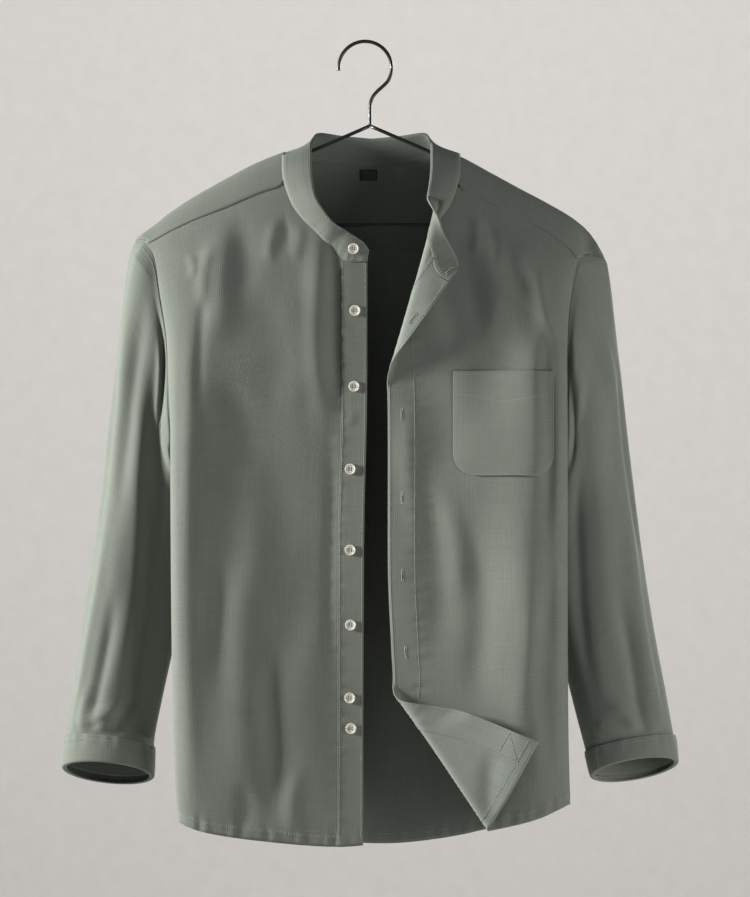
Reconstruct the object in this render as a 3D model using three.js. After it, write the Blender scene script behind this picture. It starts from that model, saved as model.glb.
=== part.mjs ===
// Mandarin collar shirt hanging open on a wire hanger.
// Millimetres, +Z up, the front faces -Y. The origin is the inner crown of the hook.
import * as THREE from 'three';

// Cloth and seams
const CLOTH = 1.2;
const SEAM_GAP = 0.4;
const LAID_ON_GAP = 0.3;
const SEAM_ANGLE = 1.1;
const FACING_CLOTH = 1.0;

// Body tube: a flat rounded front and a narrower back
const BODY_CENTRE = 3.5;
const NECK_CENTRE = 6.6;
const FRONT_SQUARENESS = 3.2;
const FALL_LENGTH = 180;

// Front panels: columns in the strip along the edge and in the rest
const BUTTON_GRID = { strip: 3, rest: 14, rows: 20 };
const HOLE_GRID = { strip: 5, rest: 19, rows: 46 };
const BUTTON_STRIP = { width: 28, share: BUTTON_GRID.strip / (BUTTON_GRID.strip + BUTTON_GRID.rest) };
const HOLE_STRIP = { width: 31, share: HOLE_GRID.strip / (HOLE_GRID.strip + HOLE_GRID.rest) };
const FRONT_ACROSS_POWER = 1.1;

// Depth of the tube by height: y of the front, of the side fold and of the back
const DEPTH_ROWS = [
  { z: -120, front: -36, fold: -4, back: 50, backSquareness: 2.4 },
  { z: -220, front: -44, fold: -8, back: 52, backSquareness: 2.3 },
  { z: -330, front: -50, fold: -16, back: 50, backSquareness: 2.0 },
  { z: -450, front: -54, fold: -25, back: 46, backSquareness: 1.8 },
  { z: -650, front: -54, fold: -27, back: 42, backSquareness: 1.8 },
  { z: -880, front: -50, fold: -24, back: 40, backSquareness: 1.9 },
];

// Shoulder ridge over the hanger, seen from the front
const RIDGE_ROWS = [
  { x: -256, z: -222 }, { x: -247, z: -212 }, { x: -230, z: -200 }, { x: -214, z: -187 },
  { x: -186, z: -168.5 }, { x: -154, z: -150.5 }, { x: -122, z: -133.5 }, { x: -89, z: -120 },
  { x: -60, z: -112 }, { x: 7, z: -109 }, { x: 72, z: -114 }, { x: 102, z: -124 },
  { x: 135, z: -141.5 }, { x: 168, z: -159.5 }, { x: 201, z: -177 }, { x: 229, z: -194 },
  { x: 248, z: -212 }, { x: 262, z: -236 },
];

// Half width of the tube by height, with the angles where front and back end at each side
const LEFT_ROWS = [
  { z: -219, half: 252, front: 27, back: 27 },
  { z: -232, half: 240, front: 25, back: 27 },
  { z: -270, half: 231, front: 22, back: 28 },
  { z: -325, half: 220, front: 16, back: 26 },
  { z: -391, half: 216, front: 8, back: 18 },
  { z: -430, half: 214.5, front: 1, back: 10 },
  { z: -452, half: 214.5, front: -6, back: 6 },
  { z: -540, half: 214, front: -6, back: 6 },
  { z: -650, half: 213, front: -6, back: 6 },
  { z: -758, half: 211, front: -6, back: 6 },
  { z: -825, half: 208, front: -6, back: 6 },
  { z: -850, half: 205, front: -6, back: 6 },
];
const RIGHT_ROWS = [
  { z: -237, half: 236.5, front: 27, back: 27 },
  { z: -248, half: 231.5, front: 25, back: 27 },
  { z: -264, half: 226, front: 22, back: 28 },
  { z: -296, half: 219.5, front: 18, back: 27 },
  { z: -342, half: 216.5, front: 13, back: 24 },
  { z: -395, half: 216, front: 6, back: 17 },
  { z: -432, half: 216, front: 0, back: 10 },
  { z: -455, half: 216, front: -6, back: 6 },
  { z: -650, half: 216, front: -6, back: 6 },
  { z: -760, half: 217, front: -6, back: 6 },
  { z: -830, half: 219, front: -6, back: 6 },
];

// Neckline and front yoke seam, as distance out from the neck's centre
const LEFT_TOP_ROWS = [
  { out: 3.5, z: -241.5 }, { out: 24, z: -241 }, { out: 33, z: -235.5 }, { out: 40, z: -227 },
  { out: 51.5, z: -216.5 }, { out: 60, z: -207.5 }, { out: 73, z: -194.5 }, { out: 83.5, z: -180.5 },
  { out: 90.5, z: -163.5 }, { out: 95, z: -153 }, { out: 130, z: -168 }, { out: 200, z: -196 },
  { out: 246, z: -219 },
];
const RIGHT_TOP_ROWS = [
  { out: 10.5, z: -241.5 }, { out: 24, z: -241 }, { out: 33, z: -235.5 }, { out: 40, z: -227 },
  { out: 51.5, z: -216.5 }, { out: 60, z: -207.5 }, { out: 73, z: -194.5 }, { out: 83.5, z: -180.5 },
  { out: 90.5, z: -166 }, { out: 95, z: -157 }, { out: 130, z: -174 }, { out: 200, z: -211 },
  { out: 226, z: -237 },
];

// Front edges and the curved shirt-tail hem
const LEFT_EDGE_ROWS = [{ z: -241, x: 2.5 }, { z: -400, x: 2 }, { z: -540, x: -1 }, { z: -875, x: -2.2 }];
const RIGHT_EDGE_ROWS = [
  { z: -240, x: 17 }, { z: -300, x: 21 }, { z: -400, x: 24.5 }, { z: -580, x: 25 }, { z: -661, x: 28.5 },
  { z: -694, x: 30 }, { z: -730, x: 27.5 }, { z: -760, x: 21 }, { z: -790, x: 16.5 }, { z: -870, x: 16 },
];
const HEM_ROWS = [
  { x: -214, front: -840, back: -840 }, { x: -200, front: -849, back: -848 },
  { x: -175, front: -858, back: -857 }, { x: -118, front: -867, back: -868 },
  { x: -30, front: -874, back: -877 }, { x: 30, front: -869, back: -879 },
  { x: 90, front: -864, back: -872 }, { x: 137, front: -856, back: -861 },
  { x: 185, front: -844, back: -846 }, { x: 220, front: -829, back: -830 },
];
const BACK_YOKE_ROWS = [
  { x: -222, z: -272 }, { x: -110, z: -236 }, { x: 7, z: -222 }, { x: 124, z: -238 }, { x: 224, z: -280 },
];

// Collar band: foot on the neckline, top edge, and how far the top leans back (forward where negative)
const COLLAR_ROWS = [
  { out: 3.5, z: -240.5, topOut: 2.5, topZ: -229, lean: 2 },
  { out: 14, z: -240.8, topOut: 8, topZ: -220.5, lean: 1 },
  { out: 25, z: -240, topOut: 16, topZ: -214.5, lean: 0 },
  { out: 33, z: -235, topOut: 23, topZ: -210, lean: -2 },
  { out: 40, z: -226.5, topOut: 30, topZ: -205.5, lean: -4 },
  { out: 51.5, z: -216, topOut: 37.5, topZ: -201, lean: -6 },
  { out: 60, z: -207, topOut: 44.5, topZ: -194.5, lean: -8 },
  { out: 73, z: -194, topOut: 54.5, topZ: -180.5, lean: -10 },
  { out: 83.5, z: -180, topOut: 60, topZ: -170, lean: -11 },
  { out: 90.5, z: -163, topOut: 62.5, topZ: -158, lean: -10 },
  { out: 95, z: -145.5, topOut: 64.5, topZ: -139, lean: -7 },
  { out: 95.6, z: -121.5, topOut: 65, topZ: -111, lean: 1 },
];
const COLLAR_FOOT_SHARE = 0.045;
const COLLAR_BACK_ROWS = [
  { out: 95.6, z: -121.5, y: 0, topOut: 65, topZ: -111, topY: 1 },
  { out: 84, z: -122.6, y: 13.6, topOut: 63.5, topZ: -104, topY: 9 },
  { out: 64, z: -127, y: 20.8, topOut: 57, topZ: -97, topY: 15.5 },
  { out: 34, z: -131, y: 24.2, topOut: 32, topZ: -100, topY: 19 },
  { out: 0, z: -133.2, y: 26, topOut: 0, topZ: -103, topY: 21 },
];

// Rolls of the open front: the lapel at the neck and the turned-up corner at the hem
const LAPEL = {
  x: 79, z: -200, alongX: -0.285, alongZ: -0.958,
  rows: [
    { at: -28, sweep: 0, radius: 9 }, { at: 6, sweep: 178, radius: 7 }, { at: 60, sweep: 179, radius: 5.5 },
    { at: 120, sweep: 176, radius: 5 }, { at: 150, sweep: 120, radius: 5 }, { at: 205, sweep: 0, radius: 5 },
  ],
};
const CORNER = {
  x: 52.5, z: -726, alongX: 0.55, alongZ: -0.835,
  rows: [
    { at: -46, sweep: 0, radius: 9 }, { at: -8, sweep: 165, radius: 7 }, { at: 40, sweep: 178, radius: 5.5 },
    { at: 160, sweep: 179, radius: 4.5 },
  ],
};

// Sleeves: outer and inner edge of each ring seen from the front, with centre and half depth in y
const LEFT_SLEEVE_ROWS = [
  { outX: -251, outZ: -217, inX: -209, inZ: -453, y: -8, depth: 26, tilt: 0 },
  { outX: -259, outZ: -250, inX: -206, inZ: -470, y: -2, depth: 33, tilt: 0 },
  { outX: -267, outZ: -302, inX: -202, inZ: -492, y: 8, depth: 36, tilt: 0 },
  { outX: -274, outZ: -362, inX: -199, inZ: -518, y: 15, depth: 36, tilt: 0 },
  { outX: -282, outZ: -424, inX: -198, inZ: -548, y: 19, depth: 34, tilt: 0 },
  { outX: -289, outZ: -488, inX: -199, inZ: -584, y: 20, depth: 33, tilt: 0 },
  { outX: -297, outZ: -552, inX: -203, inZ: -624, y: 20, depth: 32, tilt: 0 },
  { outX: -307, outZ: -618, inX: -211, inZ: -666, y: 17, depth: 31, tilt: 1 },
  { outX: -317, outZ: -690, inX: -222, inZ: -716, y: 12, depth: 30, tilt: 3 },
  { outX: -326, outZ: -750, inX: -231, inZ: -763, y: 7, depth: 29, tilt: 9 },
  { outX: -330, outZ: -792, inX: -233, inZ: -801, y: 5, depth: 29, tilt: 14 },
];
const RIGHT_SLEEVE_ROWS = [
  { outX: 262, outZ: -236, inX: 221, inZ: -456, y: -8, depth: 26, tilt: 0 },
  { outX: 268, outZ: -270, inX: 219, inZ: -474, y: -2, depth: 33, tilt: 0 },
  { outX: 274, outZ: -314, inX: 215, inZ: -497, y: 8, depth: 36, tilt: 0 },
  { outX: 281, outZ: -368, inX: 211, inZ: -524, y: 15, depth: 36, tilt: 0 },
  { outX: 288, outZ: -430, inX: 206, inZ: -556, y: 19, depth: 34, tilt: 0 },
  { outX: 296, outZ: -496, inX: 207, inZ: -593, y: 20, depth: 33, tilt: 0 },
  { outX: 305, outZ: -566, inX: 211, inZ: -635, y: 20, depth: 32, tilt: 0 },
  { outX: 316, outZ: -638, inX: 219, inZ: -681, y: 17, depth: 31, tilt: 1 },
  { outX: 328, outZ: -704, inX: 230, inZ: -728, y: 12, depth: 30, tilt: 3 },
  { outX: 337, outZ: -756, inX: 242, inZ: -774, y: 7, depth: 29, tilt: 9 },
  { outX: 341, outZ: -786, inX: 248, inZ: -800, y: 5, depth: 29, tilt: 14 },
];
const ARMHOLE_OFFSET = 2.5;
const HEAD_BLEND_ROWS = 3;

// Cuffs, turned back over the sleeve ends
const CUFF_WALL = 2.4;
const CUFF_ROWS = { left: 0.77, right: 0.95 };

// Plackets, pocket, buttons and label
const POCKET = { left: 95.5, right: 203.5, top: -359.5, bottom: -472.5, corner: 24 };
const BUTTON = { radius: 5.8, height: 2.6, rim: 0.9, dish: 0.7, sides: 10 };
const BUTTON_ROWS = [
  { x: -10.8, z: -294 }, { x: -11.9, z: -376 }, { x: -16, z: -465.5 }, { x: -16, z: -553 },
  { x: -15.6, z: -634 }, { x: -16.5, z: -713 }, { x: -15.2, z: -746 },
];
const BUTTON_SEAT = 0.15;
const COLLAR_BUTTON = { across: 0.0625, up: 0.5, seat: 0.5 };
const POCKET_SEAT = 0.4;
const POCKET_ROUNDING = 0.96;
const LABEL_SEAT = 0.3;
const LABEL = { left: -5.5, right: 13, top: -137, bottom: -148 };

// Wire hanger
const WIRE = 4;
const WIRE_SIDES = 8;
const HOOK_RADIUS = 29;
const STEM_X = 5.3;
const STEM_FOOT = -88.8;
const ARM_TOP_ROWS = [
  { left: 4.2, right: 6.4, z: -91 }, { left: -57, right: 68, z: -117.5 }, { left: -78, right: 88, z: -126.5 },
];
const ARM_UNDER_RIDGE = { left: [-100, -122, -154, -186], right: [112, 135, 168, 196], below: 5.4 };
const BAR_Z = -199;
const BAR_LEFT = 185;
const BAR_RIGHT = 195;

const DEGREE = Math.PI / 180;

const COLOURS = {
  cloth: new THREE.MeshStandardMaterial({ color: 0x6b716a, roughness: 0.9, metalness: 0 }),
  wire: new THREE.MeshStandardMaterial({ color: 0x17181a, roughness: 0.45, metalness: 0.2 }),
  button: new THREE.MeshStandardMaterial({ color: 0xd9d6c8, roughness: 0.4, metalness: 0 }),
  label: new THREE.MeshStandardMaterial({ color: 0x20221f, roughness: 0.8, metalness: 0 }),
};

const shirt = new THREE.Group();

function addMesh(name, geometry, material) {
  const mesh = new THREE.Mesh(geometry, material);
  mesh.name = name;
  shirt.add(mesh);
  return mesh;
}

function clamp(value, low, high) {
  return Math.min(Math.max(value, low), high);
}

// Smooth value of a column between the rows of a table
function along(rows, key, column, at) {
  const last = rows.length - 1;
  const rising = rows[last][key] > rows[0][key] ? 1 : -1;
  if ((at - rows[0][key]) * rising <= 0) return rows[0][column];
  if ((at - rows[last][key]) * rising >= 0) return rows[last][column];
  let i = 0;
  while ((at - rows[i + 1][key]) * rising > 0) i += 1;
  const span = rows[i + 1][key] - rows[i][key];
  const slope = (low, high) => (rows[high][column] - rows[low][column]) / (rows[high][key] - rows[low][key]);
  const startSlope = slope(Math.max(i - 1, 0), i + 1);
  const endSlope = slope(i, Math.min(i + 2, last));
  const t = (at - rows[i][key]) / span;
  const t2 = t * t;
  const t3 = t2 * t;
  return rows[i][column] * (2 * t3 - 3 * t2 + 1) + rows[i + 1][column] * (3 * t2 - 2 * t3)
    + span * (startSlope * (t3 - 2 * t2 + t) + endSlope * (t3 - t2));
}

function ridgeZ(x) {
  return along(RIDGE_ROWS, 'x', 'z', x);
}

// How far the cloth has come away from the ridge plane, 0 on the ridge and 1 well below it
function fall(x, z) {
  const share = clamp((ridgeZ(x) - z) / FALL_LENGTH, 0, 1);
  return Math.sqrt(1 - (1 - share) ** 2);
}

function sideRows(side) {
  return side < 0 ? LEFT_ROWS : RIGHT_ROWS;
}

// A point of the tube by height and angle: 0 at the side fold, 90 at the centre
function tubePoint(side, z, angle, back) {
  const half = along(sideRows(side), 'z', 'half', z);
  const power = back ? along(DEPTH_ROWS, 'z', 'backSquareness', z) : FRONT_SQUARENESS;
  const cosine = Math.cos(angle * DEGREE);
  const sine = Math.sin(angle * DEGREE);
  const size = (Math.abs(cosine) ** power + Math.abs(sine) ** power) ** (1 / power);
  const fold = along(DEPTH_ROWS, 'z', 'fold', z);
  const deep = along(DEPTH_ROWS, 'z', back ? 'back' : 'front', z);
  const x = BODY_CENTRE + side * half * cosine / size;
  const y = fold + (deep - fold) * sine / size;
  return new THREE.Vector3(x, y * fall(x, z), z);
}

// Front and back pass through the side fold, where the sign of the angle changes over
function bodyPoint(side, z, angle, back) {
  return angle >= 0 ? tubePoint(side, z, angle, back) : tubePoint(side, z, -angle, !back);
}

function angleAt(side, x, z, back) {
  const half = along(sideRows(side), 'z', 'half', z);
  const power = back ? along(DEPTH_ROWS, 'z', 'backSquareness', z) : FRONT_SQUARENESS;
  const reach = clamp(Math.abs(x - BODY_CENTRE) / half, 0.0001, 0.9999);
  return Math.atan((reach ** -power - 1) ** (1 / power)) / DEGREE;
}

function heightAt(x, z, back) {
  const side = x < BODY_CENTRE ? -1 : 1;
  return tubePoint(side, z, angleAt(side, x, z, back), back).y;
}

// Cloth beyond a roll line turns over towards the viewer
function rolled(x, z, roll) {
  const normal = { x: roll.alongZ, z: -roll.alongX };
  const at = (x - roll.x) * roll.alongX + (z - roll.z) * roll.alongZ;
  const beyond = (x - roll.x) * normal.x + (z - roll.z) * normal.z;
  const sweep = clamp(along(roll.rows, 'at', 'sweep', at), 0, 180) * DEGREE;
  const radius = along(roll.rows, 'at', 'radius', at);
  if (beyond <= 0 || sweep === 0) return { x, z, rise: 0 };
  const turned = Math.min(beyond / radius, sweep);
  const straight = beyond - radius * turned;
  const moved = radius * Math.sin(turned) + straight * Math.cos(turned);
  const rise = radius * (1 - Math.cos(turned)) + straight * Math.sin(turned);
  return { x: x + (moved - beyond) * normal.x, z: z + (moved - beyond) * normal.z, rise };
}

// Panel points before any roll
function edgeX(side, z) {
  return along(side < 0 ? LEFT_EDGE_ROWS : RIGHT_EDGE_ROWS, 'z', 'x', z);
}

function frontX(side, across, z) {
  const strip = side < 0 ? BUTTON_STRIP : HOLE_STRIP;
  const edge = edgeX(side, z);
  if (across < strip.share) {
    const x = edge + side * strip.width * across / strip.share;
    return new THREE.Vector3(x, heightAt(x, z, false), z);
  }
  const share = ((across - strip.share) / (1 - strip.share)) ** FRONT_ACROSS_POWER;
  const startAngle = angleAt(side, edge + side * strip.width, z, false);
  const endAngle = along(sideRows(side), 'z', 'front', z) + SEAM_ANGLE;
  return bodyPoint(side, z, startAngle + (endAngle - startAngle) * share, false);
}

function frontTop(side, x) {
  const rows = side < 0 ? LEFT_TOP_ROWS : RIGHT_TOP_ROWS;
  return along(rows, 'out', 'z', Math.abs(x - NECK_CENTRE)) - SEAM_GAP;
}

function turnOver(point, side) {
  if (side < 0) return point;
  let { x, z } = point;
  const base = point.y;
  const lapel = rolled(x, z, LAPEL);
  const corner = rolled(x, z, CORNER);
  const turned = lapel.rise > 0 ? lapel : corner;
  if (turned.rise === 0) return point;
  x = turned.x;
  z = turned.z;
  const blend = clamp(turned.rise / CLOTH, 0, 1);
  const ground = heightAt(x, z, false);
  return new THREE.Vector3(x, base + (ground - base) * blend - turned.rise, z);
}

// A front panel from its front edge (across 0) to the side seam (across 1), neck to hem.
// Its rows are closest near the neck, and on the hole side round both rolls.
const FRONT_DOWN_POWER = 1.35;
const HOLE_DOWN_ROWS = [
  { row: 0, down: 0 }, { row: 0.35, down: 0.33 }, { row: 0.5, down: 0.68 }, { row: 1, down: 1 },
];
const TOP_STEPS = 6;

function frontSurface(side) {
  return (across, down) => {
    let top = -240;
    for (let i = 0; i < TOP_STEPS; i += 1) top = frontTop(side, frontX(side, across, top).x);
    let hem = -850;
    for (let i = 0; i < TOP_STEPS; i += 1) hem = along(HEM_ROWS, 'x', 'front', frontX(side, across, hem).x);
    const share = side < 0 ? down ** FRONT_DOWN_POWER : along(HOLE_DOWN_ROWS, 'row', 'down', down);
    const z = top + (hem - top) * share;
    return turnOver(frontX(side, across, z), side);
  };
}

// The strip along a front edge is made from the panel's own columns
function stripSurface(side) {
  const surface = frontSurface(side);
  const strip = side < 0 ? BUTTON_STRIP : HOLE_STRIP;
  return (across, down) => surface(across * strip.share, down);
}

// The back hangs from the yoke seam between the side seams
const BACK_DOWN_POWER = 1.3;

function backX(share, z) {
  const side = share < 0.5 ? -1 : 1;
  const start = along(sideRows(side), 'z', 'back', z) + SEAM_ANGLE;
  const local = side < 0 ? share * 2 : (1 - share) * 2;
  return bodyPoint(side, z, start + (90 - start) * local, true);
}

function backSurface(across, down) {
  let top = -240;
  for (let i = 0; i < TOP_STEPS; i += 1) {
    top = along(BACK_YOKE_ROWS, 'x', 'z', backX(across, top).x) - SEAM_GAP;
  }
  let hem = -850;
  for (let i = 0; i < TOP_STEPS; i += 1) hem = along(HEM_ROWS, 'x', 'back', backX(across, hem).x);
  return backX(across, top + (hem - top) * down ** BACK_DOWN_POWER);
}

// The yoke runs from the back yoke seam over the ridge: lean is negative behind the ridge
function leanOf(x, z) {
  return Math.acos(1 - clamp((ridgeZ(x) - z) / FALL_LENGTH, 0, 1));
}

function ridgePoint(x, lean) {
  const z = ridgeZ(x) - FALL_LENGTH * (1 - Math.cos(lean));
  return new THREE.Vector3(x, heightAt(x, z, lean < 0), z);
}

// Edge of the yoke towards neck and fronts, left to right. A row with no z lies on a front yoke seam.
const YOKE_EDGE_ROWS = [
  { x: -239, startX: -212 }, { x: -214, startX: -196 }, { x: -180, startX: -168 },
  { x: -145, startX: -140 }, { x: -112, startX: -114 }, { x: -90, startX: -92 },
  { x: -90.5, z: -134, startX: -82 }, { x: -90, z: -122, back: 1, startX: -72 },
  { x: -78, z: -123, back: 1, startX: -62 }, { x: -58, z: -127.5, back: 1, startX: -48 },
  { x: -28, z: -131.5, back: 1, startX: -24 }, { x: 6.6, z: -133.5, back: 1, startX: 6.6 },
  { x: 41, z: -131.5, back: 1, startX: 37 }, { x: 71, z: -128, back: 1, startX: 61 },
  { x: 91, z: -126, back: 1, startX: 75 }, { x: 103, z: -126.5, back: 1, startX: 86 },
  { x: 103.8, z: -139, startX: 96 }, { x: 103.2, startX: 106 }, { x: 125, startX: 127 },
  { x: 158, startX: 153 }, { x: 190, startX: 180 }, { x: 214, startX: 201 }, { x: 231, startX: 216 },
];
const YOKE_EDGE = YOKE_EDGE_ROWS.map((row, index) => {
  const seam = frontTop(row.x < NECK_CENTRE ? -1 : 1, row.x) + SEAM_GAP * 4.6;
  const lean = leanOf(row.x, row.z ?? seam) * (row.back ? -1 : 1);
  const backZ = along(BACK_YOKE_ROWS, 'x', 'z', row.startX) + SEAM_GAP / 2;
  return { index, x: row.x, lean, startX: row.startX, startLean: -leanOf(row.startX, backZ) };
});
// How far each shoulder end of the yoke reaches out over the ridge, and how that fades before and behind it
const YOKE_END = {
  left: { bulge: -16.5, front: 0.352, frontPower: 1.9, back: 0.54, backPower: 3 },
  right: { bulge: 35.6, front: 0.69, frontPower: 2.2, back: 0.74, backPower: 3.3 },
};

function yokeSurface(across, down) {
  const at = across * (YOKE_EDGE.length - 1);
  const edge = (column) => along(YOKE_EDGE, 'index', column, at);
  const lean = edge('startLean') + (edge('lean') - edge('startLean')) * down;
  const endShare = clamp(1 - Math.min(at, YOKE_EDGE.length - 1 - at) / 1.5, 0, 1) ** 2;
  const end = at < 5 ? YOKE_END.left : YOKE_END.right;
  const faded = lean < 0 ? (-lean / end.back) ** end.backPower : (lean / end.front) ** end.frontPower;
  const bulge = end.bulge * endShare * Math.max(1 - faded, 0);
  const x = edge('startX') + (edge('x') - edge('startX')) * down + bulge;
  return ridgePoint(x, lean);
}

// The collar band, laid out from its left end round the back to its right end
function collarPair(position) {
  const side = position < 0 ? -1 : 1;
  const share = 1 - Math.abs(position);
  const frontLast = COLLAR_ROWS.length - 1;
  const backLast = COLLAR_BACK_ROWS.length - 1;
  const at = share * (frontLast + backLast);
  const place = (out) => NECK_CENTRE + side * out;
  if (at <= frontLast) {
    const rows = COLLAR_ROWS.map((row, index) => ({ ...row, index }));
    const value = (column) => along(rows, 'index', column, at);
    const end = side > 0 ? 7 * clamp(1 - at / 2, 0, 1) : 0;
    const footX = place(value('out') + end);
    const y = heightAt(footX, value('z'), false);
    const foot = new THREE.Vector3(footX, y, value('z') + SEAM_GAP);
    const top = new THREE.Vector3(place(value('topOut') + end), y + value('lean'), value('topZ'));
    return { foot, top };
  }
  const rows = COLLAR_BACK_ROWS.map((row, index) => ({ ...row, index: index + frontLast }));
  const value = (column) => along(rows, 'index', column, at);
  const foot = new THREE.Vector3(place(value('out')), value('y'), value('z') + SEAM_GAP);
  const top = new THREE.Vector3(place(value('topOut')), value('topY'), value('topZ'));
  return { foot, top };
}

function rollCollar(point) {
  const turned = rolled(point.x, point.z, LAPEL);
  if (turned.rise === 0 || point.x < NECK_CENTRE) return point;
  const blend = clamp(turned.rise / CLOTH, 0, 1);
  const ground = heightAt(turned.x, turned.z, false);
  return new THREE.Vector3(turned.x, point.y + (ground - point.y) * blend - turned.rise, turned.z);
}

function collarSurface(across, up) {
  const { foot, top } = collarPair(2 * across - 1);
  return rollCollar(foot.clone().lerp(top, COLLAR_FOOT_SHARE + (1 - COLLAR_FOOT_SHARE) * up));
}

// Sleeves grow from the armhole into plain rings
function armholePoint(side, turn) {
  const rows = side < 0 ? LEFT_SLEEVE_ROWS : RIGHT_SLEEVE_ROWS;
  const table = sideRows(side);
  const top = table[0].z;
  const bottom = rows[0].inZ + 1;
  const back = Math.sin(turn) < 0;
  const down = (1 - Math.cos(turn)) / 2;
  const corner = 0.035;
  const column = back ? 'back' : 'front';
  if (down < corner) {
    const ridgeTop = new THREE.Vector3(rows[0].outX, 0, rows[0].outZ + 1);
    const end = bodyPoint(side, top, along(table, 'z', column, top), back);
    return ridgeTop.lerp(end, Math.sqrt(down / corner));
  }
  const z = top + (bottom - top) * (down - corner) / (1 - corner);
  return bodyPoint(side, z, along(table, 'z', column, z), back);
}

function ringPoint(rows, at, turn) {
  const value = (column) => along(rows, 'index', column, at);
  const cosine = Math.cos(turn);
  const sine = Math.sin(turn);
  const x = (value('outX') + value('inX')) / 2 + (value('outX') - value('inX')) / 2 * cosine;
  const z = (value('outZ') + value('inZ')) / 2 + (value('outZ') - value('inZ')) / 2 * cosine;
  return new THREE.Vector3(x, value('y') - value('depth') * sine, z + value('tilt') * sine);
}

function sleeveSurface(side, stop) {
  const rows = (side < 0 ? LEFT_SLEEVE_ROWS : RIGHT_SLEEVE_ROWS).map((row, index) => ({ ...row, index }));
  return (around, down) => {
    const turn = around * 2 * Math.PI;
    const at = down * stop;
    const ring = ringPoint(rows, at, turn);
    const share = clamp(at / HEAD_BLEND_ROWS, 0, 1);
    const settle = share * share * (3 - 2 * share);
    const head = armholePoint(side, turn).add(new THREE.Vector3(side * ARMHOLE_OFFSET, 0, 0));
    const start = ringPoint(rows, 0, turn);
    const carried = head.add(ring.clone().sub(start));
    return carried.lerp(ring, settle);
  };
}

// Closed walls from a surface: u across, v down, moved along the surface's normal
const NUDGE = 0.002;

function shifted(surface, u, v, amount, closed) {
  const lowU = closed ? u - NUDGE : Math.max(u - NUDGE, 0);
  const highU = closed ? u + NUDGE : Math.min(u + NUDGE, 1);
  const across = surface(highU, v).sub(surface(lowU, v));
  const down = surface(u, Math.min(v + NUDGE, 1)).sub(surface(u, Math.max(v - NUDGE, 0)));
  const normal = across.cross(down).normalize();
  return surface(u, v).addScaledVector(normal, amount);
}

function wall(surface, columns, rows, inner, outer, closed = false) {
  const count = closed ? columns : columns + 1;
  const positions = [];
  for (const amount of [inner, outer]) {
    for (let j = 0; j <= rows; j += 1) {
      for (let i = 0; i < count; i += 1) {
        positions.push(...shifted(surface, i / columns, j / rows, amount, closed).toArray());
      }
    }
  }
  const layer = count * (rows + 1);
  const at = (level, i, j) => level * layer + j * count + (closed ? i % columns : i);
  const faces = [];
  const quad = (a, b, c, d) => faces.push(a, b, c, a, c, d);
  for (let j = 0; j < rows; j += 1) {
    for (let i = 0; i < columns; i += 1) {
      quad(at(1, i, j), at(1, i + 1, j), at(1, i + 1, j + 1), at(1, i, j + 1));
      quad(at(0, i, j), at(0, i, j + 1), at(0, i + 1, j + 1), at(0, i + 1, j));
    }
  }
  for (let i = 0; i < columns; i += 1) {
    quad(at(0, i, 0), at(0, i + 1, 0), at(1, i + 1, 0), at(1, i, 0));
    quad(at(1, i, rows), at(1, i + 1, rows), at(0, i + 1, rows), at(0, i, rows));
  }
  if (!closed) {
    for (let j = 0; j < rows; j += 1) {
      quad(at(0, 0, j + 1), at(0, 0, j), at(1, 0, j), at(1, 0, j + 1));
      quad(at(0, columns, j), at(0, columns, j + 1), at(1, columns, j + 1), at(1, columns, j));
    }
  }
  return facingOut(positions, faces);
}

function facingOut(positions, faces) {
  const corner = (index) => new THREE.Vector3().fromArray(positions, index * 3);
  let volume = 0;
  for (let i = 0; i < faces.length; i += 3) {
    volume += corner(faces[i]).dot(corner(faces[i + 1]).cross(corner(faces[i + 2])));
  }
  if (volume < 0) {
    for (let i = 0; i < faces.length; i += 3) [faces[i], faces[i + 1]] = [faces[i + 1], faces[i]];
  }
  const geometry = new THREE.BufferGeometry();
  geometry.setAttribute('position', new THREE.Float32BufferAttribute(positions, 3));
  geometry.setIndex(faces);
  return geometry;
}

// Panels
function panelWall(surface, grid, inner, outer) {
  return wall(surface, grid.strip + grid.rest, grid.rows, inner, outer);
}

function mirrored(surface) {
  return (u, v) => surface(1 - u, v);
}

function addPanels() {
  const half = CLOTH / 2;
  addMesh('front_button_side', panelWall(frontSurface(-1), BUTTON_GRID, -half, half), COLOURS.cloth);
  addMesh('front_hole_side', panelWall(mirrored(frontSurface(1)), HOLE_GRID, -half, half), COLOURS.cloth);
  addMesh('back_panel', wall(backSurface, 18, 20, -half, half), COLOURS.cloth);
  addMesh('yoke', wall(yokeSurface, 44, 9, -half, half), COLOURS.cloth);
}

function addCollar() {
  addMesh('collar_band', wall(collarSurface, 56, 2, -CLOTH / 2, CLOTH / 2), COLOURS.cloth);
}

function addPlackets() {
  const near = CLOTH / 2 + LAID_ON_GAP;
  const button = stripSurface(-1);
  const hole = mirrored(stripSurface(1));
  const placket = wall(button, BUTTON_GRID.strip, BUTTON_GRID.rows, near, near + FACING_CLOTH);
  addMesh('placket_button_side', placket, COLOURS.cloth);
  const facing = wall(hole, HOLE_GRID.strip, HOLE_GRID.rows, -near - FACING_CLOTH, -near);
  addMesh('placket_hole_side', facing, COLOURS.cloth);
}

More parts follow.
